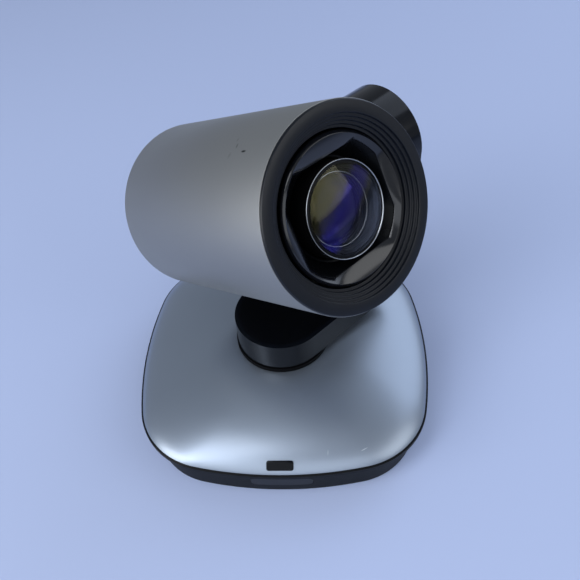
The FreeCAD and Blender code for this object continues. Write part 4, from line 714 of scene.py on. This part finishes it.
@dataclass(frozen=True)
class Loop:
    """A circle across the optical axis, which can have flat sides and a flat top and bottom.

    Attributes:
        radius: The circle's radius.
        depth: Its depth.
        half_width: Furthest that it reaches to a side.
        half_height: Furthest that it reaches up or down.
    """

    radius: float
    depth: float
    half_width: float = math.inf
    half_height: float = math.inf

    def drawn(self, bm: BMesh, steps: int = 360) -> list[BMVert]:
        """Adds the loop's vertices to a mesh.

        Args:
            bm: The mesh.
            steps: Number of vertices.

        Returns:
            The new vertices, in order.
        """
        at = Matrix.Translation((0.0, self.depth, 0.0)) @ Matrix.Rotation(math.radians(90.0), 4, "X")
        made = bmesh.ops.create_circle(bm, cap_ends=False, segments=steps, radius=self.radius, matrix=at)
        for vert in made["verts"]:
            vert.co.x = max(-self.half_width, min(self.half_width, vert.co.x))
            vert.co.z = max(-self.half_height, min(self.half_height, vert.co.z))
        return made["verts"]


def skinned(loops: Iterable[Loop], width: float) -> BMesh:
    """Closed skin over a run of loops, with rounded edges.

    Args:
        loops: The loops in order; the last is joined to the first.
        width: Width of the rounding.

    Returns:
        The mesh, in millimetres.
    """
    bm = bmesh.new()
    drawn = [loop.drawn(bm) for loop in loops]
    return softened(bridged(bm, drawn, closed=True), width=width, sharper_than=35.0)


def opened(bm: BMesh, cutter: BMesh) -> BMesh:
    """Cuts one closed mesh out of another; both are freed.

    Args:
        bm: The mesh that is cut.
        cutter: What is taken out of it.

    Returns:
        The cut mesh.
    """
    pair = []
    for shape in (bm, cutter):
        mesh = bpy.data.meshes.new("cut")
        shape.to_mesh(mesh)
        shape.free()
        pair.append(shown("cut", mesh))
    cut = pair[0].modifiers.new("opening", "BOOLEAN")
    cut.object = pair[1]
    result = bmesh.new()
    result.from_object(pair[0], bpy.context.evaluated_depsgraph_get())
    for spare in pair:
        bpy.data.meshes.remove(spare.data)
    return result


@dataclass(frozen=True)
class Plan:
    """The base's outline: four shallow sides and four rounder corners that meet smoothly.

    Attributes:
        half_width: From the middle to the side.
        half_depth: From the middle to the front.
        side: Radius of the shallow sides.
        corner: Radius of the corners.
    """

    half_width: float
    half_depth: float
    side: float
    corner: float

    def arcs(self) -> list[tuple[Vector, float]]:
        """The eight arcs in order, counter-clockwise from the start of the right side.

        Returns:
            Each arc's centre and its sweep.
        """
        knee = self.corner_centre()
        flank = Vector((self.half_width - self.side, 0.0, 0.0))
        back = Vector((0.0, self.half_depth - self.side, 0.0))
        side_turn = math.atan2(knee.y, knee.x - flank.x)
        back_turn = math.atan2(knee.x, knee.y - back.y)
        corner_turn = math.radians(90.0) - side_turn - back_turn
        far_knee = Vector((-knee.x, knee.y, 0.0))
        half = [(flank, 2 * side_turn), (knee, corner_turn), (back, 2 * back_turn), (far_knee, corner_turn)]
        return half + [(-centre, sweep) for centre, sweep in half]

    def corner_centre(self) -> Vector:
        """Centre of the corner at the right rear.

        Returns:
            The point, at height 0.
        """
        beyond_x = self.side - self.half_width
        beyond_y = self.side - self.half_depth
        half_gap = math.hypot(beyond_x, beyond_y) / 2.0
        rise = math.sqrt((self.side - self.corner) ** 2 - half_gap**2) / (2.0 * half_gap)
        return Vector((rise * beyond_y - beyond_x / 2.0, rise * beyond_x - beyond_y / 2.0, 0.0))

    def traced(self, bm: BMesh, height: float, steps: int = 20) -> list[BMVert]:
        """Traces the outline by spinning a point through its eight arcs.

        Args:
            bm: The mesh it goes in.
            height: Height of the outline.
            steps: Edges along each arc.

        Returns:
            The outline's vertices, with its two ends merged.
        """
        arcs = self.arcs()
        flank, sweep = arcs[0]
        start = flank + Matrix.Rotation(-sweep / 2.0, 4, "Z") @ Vector((self.side, 0.0, 0.0))
        before = set(bm.verts)
        tip = [bm.verts.new((start.x, start.y, height))]
        for centre, turn in arcs:
            spun = bmesh.ops.spin(bm, geom=tip, cent=centre, axis=(0.0, 0.0, 1.0), angle=turn, steps=steps)
            tip = [item for item in spun["geom_last"] if isinstance(item, BMVert)]
        fresh = [vert for vert in bm.verts if vert not in before]
        bmesh.ops.remove_doubles(bm, verts=fresh, dist=ARC_SEAM)
        return [vert for vert in bm.verts if vert not in before]


def place(name: str, bm: BMesh, body: str, finish: str, materials: Materials, *replaces: str) -> None:
    """Turns a mesh into a finished piece that rides on a body.

    Args:
        name: The piece's name.
        bm: The mesh, in millimetres; it is freed.
        body: The CAD body that it rides on.
        finish: Its finish, by its name in FINISHES.
        materials: Material by finish.
        *replaces: CAD nodes that it stands for.
    """
    bmesh.ops.transform(bm, matrix=AT_BODY[body], verts=bm.verts)
    mesh = bpy.data.meshes.new(name)
    bm.to_mesh(mesh)
    bm.free()
    mesh.shade_smooth()
    mesh.set_sharp_from_angle(angle=math.radians(EDGE_ANGLE))
    mesh.materials.append(materials[finish])
    piece = shown(name, mesh)
    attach(piece, body)
    if replaces:
        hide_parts(*replaces)
    LOG.info("%s: %d faces, rides on %s", name, len(mesh.polygons), body)


# ---- Base ----
@dataclass
class Base:
    """The ballasted foot's new skin: its silver dome, and the status window in that.

    Attributes:
        plan: Outline of the rim band.
        rim_top: Height of the rim band's top.
        dome_inset: From the outline in to the dome's edge.
        dome_rise: From the rim band to the land round the hub.
        dome_sweep: Share of the ellipse's half-width that the dome takes, so that its foot isn't upright.
        dome_wall: Thickness of the dome's skin.
        land: Radius of the flat land.
        hub_hole: Radius of the hole in it.
        hub_arcs: Radii of the sides and of the corners there, as shares of the outline's half-width.
        sections: Outlines that the dome is skinned through.
        status_at: Middle of the status window.
        status_lean: Its outward direction, in degrees above the horizontal.
        status_half: Half its width and half its height.
        status_corner: Radius of its corners.
        recess: Inner and outer end of what is cut out for it, measured outwards from its middle.
        pane: Inner and outer face of its pane, measured in the same way.
        pane_gap: Between the pane and the recess's sides.
    """

    plan: Plan = Plan(half_width=66.3, half_depth=64.4, side=171.0, corner=35.1)
    rim_top: float = 21.8
    dome_inset: float = 0.8
    dome_rise: float = 12.2
    dome_sweep: float = 0.985
    dome_wall: float = 2.0
    land: float = 22.5
    hub_hole: float = 18.5
    hub_arcs: Pair = (1.15, 0.95)
    sections: int = 36
    status_at: Point = (0.0, -61.3, 25.2)
    status_lean: float = 52.0
    status_half: Pair = (5.65, 2.1)
    status_corner: float = 1.0
    recess: Pair = (-0.9, 4.0)
    pane: Pair = (-0.9, -0.3)
    pane_gap: float = 0.04

    def build(self, materials: Materials) -> None:
        """Makes the base's new pieces.

        Args:
            materials: Material by finish.
        """
        dome = opened(self.dome(), self.status_block(0.0, *self.recess))
        place("dome_skin", dome, "base", "dome_silver", materials, "base_dome")
        pane = softened(self.status_block(self.pane_gap, *self.pane), width=0.12, sharper_than=50.0)
        place("status_pane", pane, "base", "status_black", materials, "status_window")

    def status_block(self, inset: float, low: float, high: float) -> BMesh:
        """A rounded oblong block that leans with the status window.

        Args:
            inset: How far it lies inside the window's outline.
            low: Its inner end, measured outwards from the window's middle.
            high: Its outer end.

        Returns:
            The mesh, in millimetres.
        """
        bm = bmesh.new()
        corner = self.status_corner - inset
        steps = 64
        off_axis = Matrix.Rotation(math.pi / steps, 4, "Z")
        bmesh.ops.create_circle(bm, cap_ends=True, segments=steps, radius=corner, matrix=off_axis)
        for vert in bm.verts:
            vert.co.x += math.copysign(self.status_half[0] - self.status_corner, vert.co.x)
            vert.co.y += math.copysign(self.status_half[1] - self.status_corner, vert.co.y)
            vert.co.z = low
        top = bmesh.ops.extrude_face_region(bm, geom=bm.faces[:])["geom"]
        rise = Vector((0.0, 0.0, high - low))
        bmesh.ops.translate(bm, vec=rise, verts=[item for item in top if isinstance(item, BMVert)])
        lean = Matrix.Rotation(math.radians(90.0 - self.status_lean), 4, "X")
        bmesh.ops.transform(bm, matrix=Matrix.Translation(self.status_at) @ lean, verts=bm.verts)
        return merged(bm)

    def bulge(self, across: float) -> float:
        """Height of the dome's ellipse, as a share of its own, at a share of the way across."""
        return math.sqrt(1.0 - (self.dome_sweep * across) ** 2)

    def hub_plan(self, radius: float) -> Plan:
        """The outline where it has become all but a circle of some radius."""
        return Plan(radius, radius, *[share * radius for share in self.hub_arcs])

    def dome_plans(self) -> list[tuple[Plan, float]]:
        """Outlines from the dome's foot to its hub, along a quarter ellipse.

        Returns:
            Each outline and its height.
        """
        foot = self.plan
        lead = self.land / (foot.half_width - self.dome_inset)
        quarter = math.acos(lead)
        full = self.bulge(lead) - self.bulge(1.0)
        low = [size - self.dome_inset for size in astuple(foot)]
        high = astuple(self.hub_plan(self.land))
        plans = []
        for step in range(self.sections):
            share = (1.0 - math.cos(quarter * step / (self.sections - 1))) / (1.0 - lead)
            across = 1.0 - share * (1.0 - lead)
            rise = self.dome_rise * (self.bulge(across) - self.bulge(1.0)) / full
            sizes = [start + (end - start) * share for start, end in zip(low, high)]
            plans.append((Plan(*sizes), self.rim_top + rise))
        plans.append((self.hub_plan(self.hub_hole), self.rim_top + self.dome_rise))
        return plans

    def dome(self) -> BMesh:
        """The dome: outlines spun arc by arc, skinned together and given a wall.

        Returns:
            The mesh, in millimetres.
        """
        bm = bmesh.new()
        loops = [plan.traced(bm, height) for plan, height in self.dome_plans()]
        bridged(bm, loops, closed=False)
        bmesh.ops.solidify(bm, geom=bm.faces, thickness=self.dome_wall)
        return bm


# ---- Head ----
@dataclass
class Head:
    """The barrel with its bezel, and the hood inside it.

    Attributes:
        radius: The barrel's radius.
        length: From the bezel's front plane to the rear cap's face.
        wall: Thickness of the sleeve.
        sleeve_ends: From the bezel's front plane and from the cap's face to the sleeve's ends.
        rebate: Width and end of the step in the sleeve's mouth, where the bezel sits.
        bezel_edge: Outline of the bezel's edge, from the barrel's side.
        face_width: From the barrel's side to the first step.
        steps: Number of steps.
        tread: Width of a step.
        drop: Depth of a step.
        mouth: Outline of the mouth's rear end, from the last step.
        spigot: Outline of the spigot behind the bezel, from the barrel's side.
        hood_front: Loops of the hood's front, which slants in from a round rim to a clipped opening.
        hood_walls: Loops of its walls, which go on from that opening to the lens.
        cap_edge: Outline of the rear cap's edge, from the barrel's side and the cap's face.
    """

    radius: float = 35.0
    length: float = 104.6
    wall: float = 2.0
    sleeve_ends: Pair = (0.95, 1.0)
    rebate: Pair = (0.4, 2.5)
    bezel_edge: Profile = ((-0.45, 2.5), (-0.45, 0.9), (-0.08, 0.9), (-0.53, 0.0))
    face_width: float = 4.6
    steps: int = 4
    tread: float = 1.08
    drop: float = 1.15
    mouth: Profile = ((0.0, 9.6), (3.0, 9.6))
    spigot: Profile = ((-3.55, 2.5), (-3.55, 12.0), (-2.05, 12.0), (-2.05, 2.5))
    hood_front: tuple[Loop, ...] = (
        Loop(25.4, 4.8),
        Loop(25.4, 3.8),
        Loop(24.4, 2.7),
        Loop(22.6, 4.5, 20.4, 18.3),
        Loop(22.6, 4.8, 20.4, 18.3),
    )
    hood_walls: tuple[Loop, ...] = (
        Loop(24.3, 4.8),
        Loop(22.6, 4.8, 20.35, 18.25),
        Loop(17.9, 11.0, 17.6, 17.2),
        Loop(16.9, 11.0),
        Loop(16.9, 12.6),
        Loop(24.4, 12.6),
    )
    cap_edge: Profile = (
        (-3.55, -2.5), (-3.55, -7.0), (-2.05, -7.0), (-2.05, -1.0), (-0.3, -1.0), (-0.3, -0.5), (-0.8, 0.0)
    )

    def build(self, materials: Materials) -> None:
        """Makes the barrel's new pieces.

        Args:
            materials: Material by finish.
        """
        place("barrel_skin", self.barrel(), "head", "barrel_silver", materials, "barrel_shell")
        place("bezel_stepped", self.bezel(), "head", "bezel_black", materials, "front_bezel")
        front = skinned(self.hood_front, width=0.15)
        place("hood_front", front, "head", "hood_gloss", materials)
        walls = skinned(self.hood_walls, width=0.18)
        place("hood_clipped", walls, "head", "hood_black", materials, "lens_hood")
        place("barrel_cap", self.cap(), "head", "bezel_black", materials, "rear_cap")

    def barrel(self) -> BMesh:
        """The aluminium sleeve, with fine bevels at both ends.

        Returns:
            The mesh, in millimetres.
        """
        front, behind = self.sleeve_ends
        back = self.length - behind
        step, seat = self.rebate
        mouth = self.radius - step
        bore = self.radius - self.wall
        section = [(mouth, front), (self.radius, front), (self.radius, back)]
        section += [(bore, back), (bore, seat), (mouth, seat)]
        return softened(lathe(section, steps=256), width=0.14)

    def bezel(self) -> BMesh:
        """The black bezel: a flat face, then steps down to the mouth.

        Returns:
            The mesh, in millimetres.
        """
        section = moved(self.bezel_edge, self.radius, 0.0)
        edge = self.radius - self.face_width
        for step in range(self.steps):
            here = edge - step * self.tread
            section += [(here, step * self.drop), (here, (step + 1) * self.drop)]
        last = edge - self.steps * self.tread
        section += [(last, self.steps * self.drop), *moved(self.mouth, last, 0.0)]
        section += moved(self.spigot, self.radius, 0.0)
        return softened(lathe(section, steps=256), width=0.22, segments=3)

    def cap(self) -> BMesh:
        """The rear cap: a shallow dish with a turned lip."""
        edge = moved(self.cap_edge, self.radius, self.length)
        return softened(lathe([(0.0, edge[0][1]), *edge, (0.0, edge[-1][1])]), width=0.15)


@dataclass
class Lens:
    """The front of the zoom lens: its bright ring, the thin front glass and the glass and lip behind it.

    Attributes:
        ring_radius: Outer radius of the bright ring.
        ring_depth: Depth of its front edge.
        ring_section: Its outline, from its radius and its front edge.
        collar_section: Outline of the collar, from the front glass's radius and the ring's front edge.
        glass_radius: Radius of the front glass.
        glass_sphere: Radius of its curve.
        glass_apex: Depth of its foremost point.
        glass_thickness: From its front face to its rear face.
        lip_radius: Inner radius of the bright lip behind the glass.
        lip_depth: Depth of the lip.
        lip_section: Its outline, from its radius and its depth.
        inner_sphere: Radius of the second glass's curve.
        inner_lead: How far its foremost point lies in front of the lip.
        inner_gap: Between its rim and the lip.
        inner_rim: Thickness of its rim.
    """

    ring_radius: float = 16.4
    ring_depth: float = 2.9
    ring_section: Profile = ((-0.5, 0.25), (-0.3, 0.0), (-0.1, 0.0), (0.0, 0.3), (0.0, 1.3), (-0.5, 1.3))
    collar_section: Profile = (
        (-0.35, 0.35), (-0.05, 0.1), (0.85, 0.35), (0.85, 1.25), (0.05, 1.25), (0.05, 0.55), (-0.35, 0.55)
    )
    glass_radius: float = 15.0
    glass_sphere: float = 46.0
    glass_apex: float = 0.2
    glass_thickness: float = 1.6
    lip_radius: float = 12.05
    lip_depth: float = 7.5
    lip_section: Profile = ((0.0, 0.0), (0.22, 0.0), (0.22, 0.4), (0.0, 0.4))
    inner_sphere: float = 30.0
    inner_lead: float = 1.0
    inner_gap: float = 0.1
    inner_rim: float = 2.0

    def build(self, materials: Materials) -> None:
        """Makes the lens's new pieces.

        Args:
            materials: Material by finish.
        """
        place("lens_bright_ring", self.ring(), "head", "ring_bright", materials, "lens_ring")
        place("glass_collar", self.collar(), "head", "lens_black", materials)
        place("front_glass", self.front_glass(), "head", "optical_glass", materials, "front_lens")
        place("lens_lip", self.lip(), "head", "ring_bright", materials)
        place("inner_glass", self.inner_glass(), "head", "inner_glass", materials, "second_lens")

    def ring(self) -> BMesh:
        """The bright ring, with a bevel on its front outer edge."""
        section = moved(self.ring_section, self.ring_radius, self.ring_depth)
        return softened(lathe(section, steps=256), width=0.06)

    def collar(self) -> BMesh:
        """The black collar that holds the front glass in the ring."""
        return softened(lathe(moved(self.collar_section, self.glass_radius, self.ring_depth)), width=0.06)

    def lip(self) -> BMesh:
        """The thin bright lip that holds the second glass."""
        return softened(lathe(moved(self.lip_section, self.lip_radius, self.lip_depth)), width=0.05)

    @staticmethod
    def curve(sphere: float, apex: float, radius: float, points: int = 24) -> list[Pair]:
        """Points of a round glass face, from its foremost one at the depth of the apex out to its rim."""
        reaches = [radius * point / (points - 1) for point in range(points)]
        return [(reach, apex + sphere - math.sqrt(sphere**2 - reach**2)) for reach in reaches]

    def front_glass(self) -> BMesh:
        """The front glass: two like curves a little apart.

        Returns:
            The mesh, in millimetres.
        """
        front = self.curve(self.glass_sphere, self.glass_apex, self.glass_radius)
        rear = self.curve(self.glass_sphere, self.glass_apex + self.glass_thickness, self.glass_radius)
        return lathe(front + rear[::-1])

    def inner_glass(self) -> BMesh:
        """The second glass: a round curve in front and a flat face behind.

        Returns:
            The mesh, in millimetres.
        """
        radius = self.lip_radius - self.inner_gap
        front = self.curve(self.inner_sphere, self.lip_depth - self.inner_lead, radius)
        back = front[-1][1] + self.inner_rim
        return lathe(front + [(radius, back), (0.0, back)])


# ---- Studio ----
@dataclass(frozen=True)
class Lamp:
    """A soft box.

    Attributes:
        name: Its name.
        at: Its place in metres.
        aim: The point that it faces.
        size: Its width and height in metres.
        power: Watts.
        colour: Its colour, sRGB hex.
    """

    name: str
    at: Point
    aim: Point
    size: Pair
    power: float
    colour: str

    def hang(self) -> None:
        """Adds the lamp to the scene."""
        data = bpy.data.lights.new(self.name, "AREA")
        data.shape = "RECTANGLE"
        data.size, data.size_y = self.size
        data.energy = self.power
        data.color = linear(self.colour)[:3]
        lamp = shown(self.name, data)
        lamp.location = self.at
        lamp.rotation_euler = (Vector(self.at) - Vector(self.aim)).to_track_quat("Z", "Y").to_euler()


@dataclass
class Studio:
    """A pale floor, a soft tent of light and the camera.

    Attributes:
        eye: The camera's place in millimetres.
        yaw: Its heading, in radians from +Y towards -X.
        pitch: Its tilt above the horizon, in radians.
        roll: Its turn about its own line of sight, in radians.
        focal: Focal length in millimetres.
        sensor: Width of the sensor in millimetres.
        nearest: Distance in metres at which the camera starts to see.
        floor_half: Half the floor's side in metres.
        floor_colour: sRGB hex.
        floor_roughness: Of the matt paper that covers it.
        tent_low: The tent's colour at the horizon.
        tent_high: The tent's colour overhead.
        tent_roof: Rise of a direction at which that colour is reached, of 1 straight up.
        tent_power: Strength of the tent's light.
        lamps: The soft boxes.
    """

    eye: Point = (20.2345, -194.2589, 277.0385)
    yaw: float = 0.0795080
    pitch: float = -0.8283373
    roll: float = -0.0756757
    focal: float = 41.9422
    sensor: float = 36.0
    nearest: float = 0.01
    floor_half: float = 6.0
    floor_colour: str = "#aebbdc"
    floor_roughness: float = 0.85
    tent_low: str = "#d3dbe9"
    tent_high: str = "#c0c8d4"
    tent_roof: float = 0.9
    tent_power: float = 0.56
    lamps: tuple[Lamp, ...] = (
        Lamp("soft_box_front", (-0.14, -1.0, 0.72), (0.0, 0.0, 0.05), (1.4, 1.0), 5.2, "#f0f6ff"),
        Lamp("soft_box_left", (-0.9, -0.57, 0.43), (0.0, 0.0, 0.03), (0.6, 0.6), 4.5, "#ffffff"),
        Lamp("tall_box_above", (-0.46, -0.5, 0.98), (0.0, -0.05, 0.03), (0.3, 1.0), 4.6, "#f4f8ff"),
        Lamp("soft_box_right", (0.7, 0.7, 0.62), (0.03, 0.0, 0.03), (0.9, 0.9), 4.0, "#dce9ff"),
        Lamp("soft_box_low", (0.769, -0.338, 0.627), (0.03, -0.06, 0.14), (0.8, 0.5), 2.2, "#f3f4f4"),
    )

    def build(self) -> None:
        """Sets up the floor, the tent, the lamps, the camera and the colour view."""
        self.floor()
        self.tent()
        for lamp in self.lamps:
            lamp.hang()
        self.camera()
        bpy.context.scene.view_settings.view_transform = "Standard"

    def floor(self) -> None:
        """Lays a plain matt floor whose edge is far away."""
        bm = bmesh.new()
        bmesh.ops.create_grid(bm, x_segments=1, y_segments=1, size=self.floor_half)
        mesh = bpy.data.meshes.new("studio_floor")
        bm.to_mesh(mesh)
        bm.free()
        floor = shown("studio_floor", mesh)
        paper = bpy.data.materials.new("paper matt")
        paper.use_nodes = True
        shader = paper.node_tree.nodes["Principled BSDF"]
        shader.inputs["Base Color"].default_value = linear(self.floor_colour)
        shader.inputs["Roughness"].default_value = self.floor_roughness
        mesh.materials.append(paper)

    def tent(self) -> None:
        """Lights the world as a tent whose walls are brighter than its roof."""
        world = bpy.data.worlds.new("studio_tent")
        world.use_nodes = True
        bpy.context.scene.world = world
        tree = world.node_tree
        tree.nodes.clear()
        towards = add_node(tree, "TexCoord", "Generated")
        rise = add_node(tree, "SeparateXYZ", "Z", {"Vector": towards})
        share = add_node(tree, "MapRange", "Result", {"Value": rise, "From Max": self.tent_roof})
        tones = {MIX_SHARE: share, MIX_UNDER: linear(self.tent_low), MIX_OVER: linear(self.tent_high)}
        colour = add_node(tree, "Mix", MIX_RESULT, tones, data_type="RGBA")
        glow = add_node(tree, "Background", "Background", {"Color": colour, "Strength": self.tent_power})
        tree.links.new(glow, tree.nodes.new("ShaderNodeOutputWorld").inputs["Surface"])

    def camera(self) -> None:
        """Sets the camera at its place and its three angles."""
        flat = math.cos(self.pitch)
        forward = Vector((-math.sin(self.yaw) * flat, math.cos(self.yaw) * flat, math.sin(self.pitch)))
        level = Vector((math.cos(self.yaw), math.sin(self.yaw), 0.0))
        upright = level.cross(forward)
        right = math.cos(self.roll) * level + math.sin(self.roll) * upright
        above = -math.sin(self.roll) * level + math.cos(self.roll) * upright
        data = bpy.data.cameras.new("studio_camera")
        data.sensor_width = self.sensor
        data.lens = self.focal
        data.clip_start = self.nearest
        camera = shown("studio_camera", data)
        turn = Matrix((right, above, -forward)).transposed().to_4x4()
        camera.matrix_world = Matrix.Translation(Vector(self.eye) * MM) @ turn
        bpy.context.scene.camera = camera


def dress(nodes: dict[str, Object], materials: Materials) -> None:
    """Gives each CAD node its own finish, or else that of its material slot.

    Args:
        nodes: CAD objects by name.
        materials: Material by finish.
    """
    for name, node in nodes.items():
        for slot in node.material_slots:
            slot.material = materials[FINISH_OF.get(name, slot.material.name.split(".")[0])]
        LOG.info("%s: CAD node, %s", name, node.material_slots[0].material.name)


def main() -> None:
    """Builds the camera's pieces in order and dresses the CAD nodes."""
    logging.basicConfig(level=logging.INFO, format="%(message)s")
    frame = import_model()
    Studio().build()
    materials = {name: finish.material() for name, finish in FINISHES.items()}
    dress(frame["nodes"], materials)
    Base().build(materials)
    Head().build(materials)
    Lens().build(materials)
    bpy.context.view_layer.update()


if __name__ == "__main__":
    main()
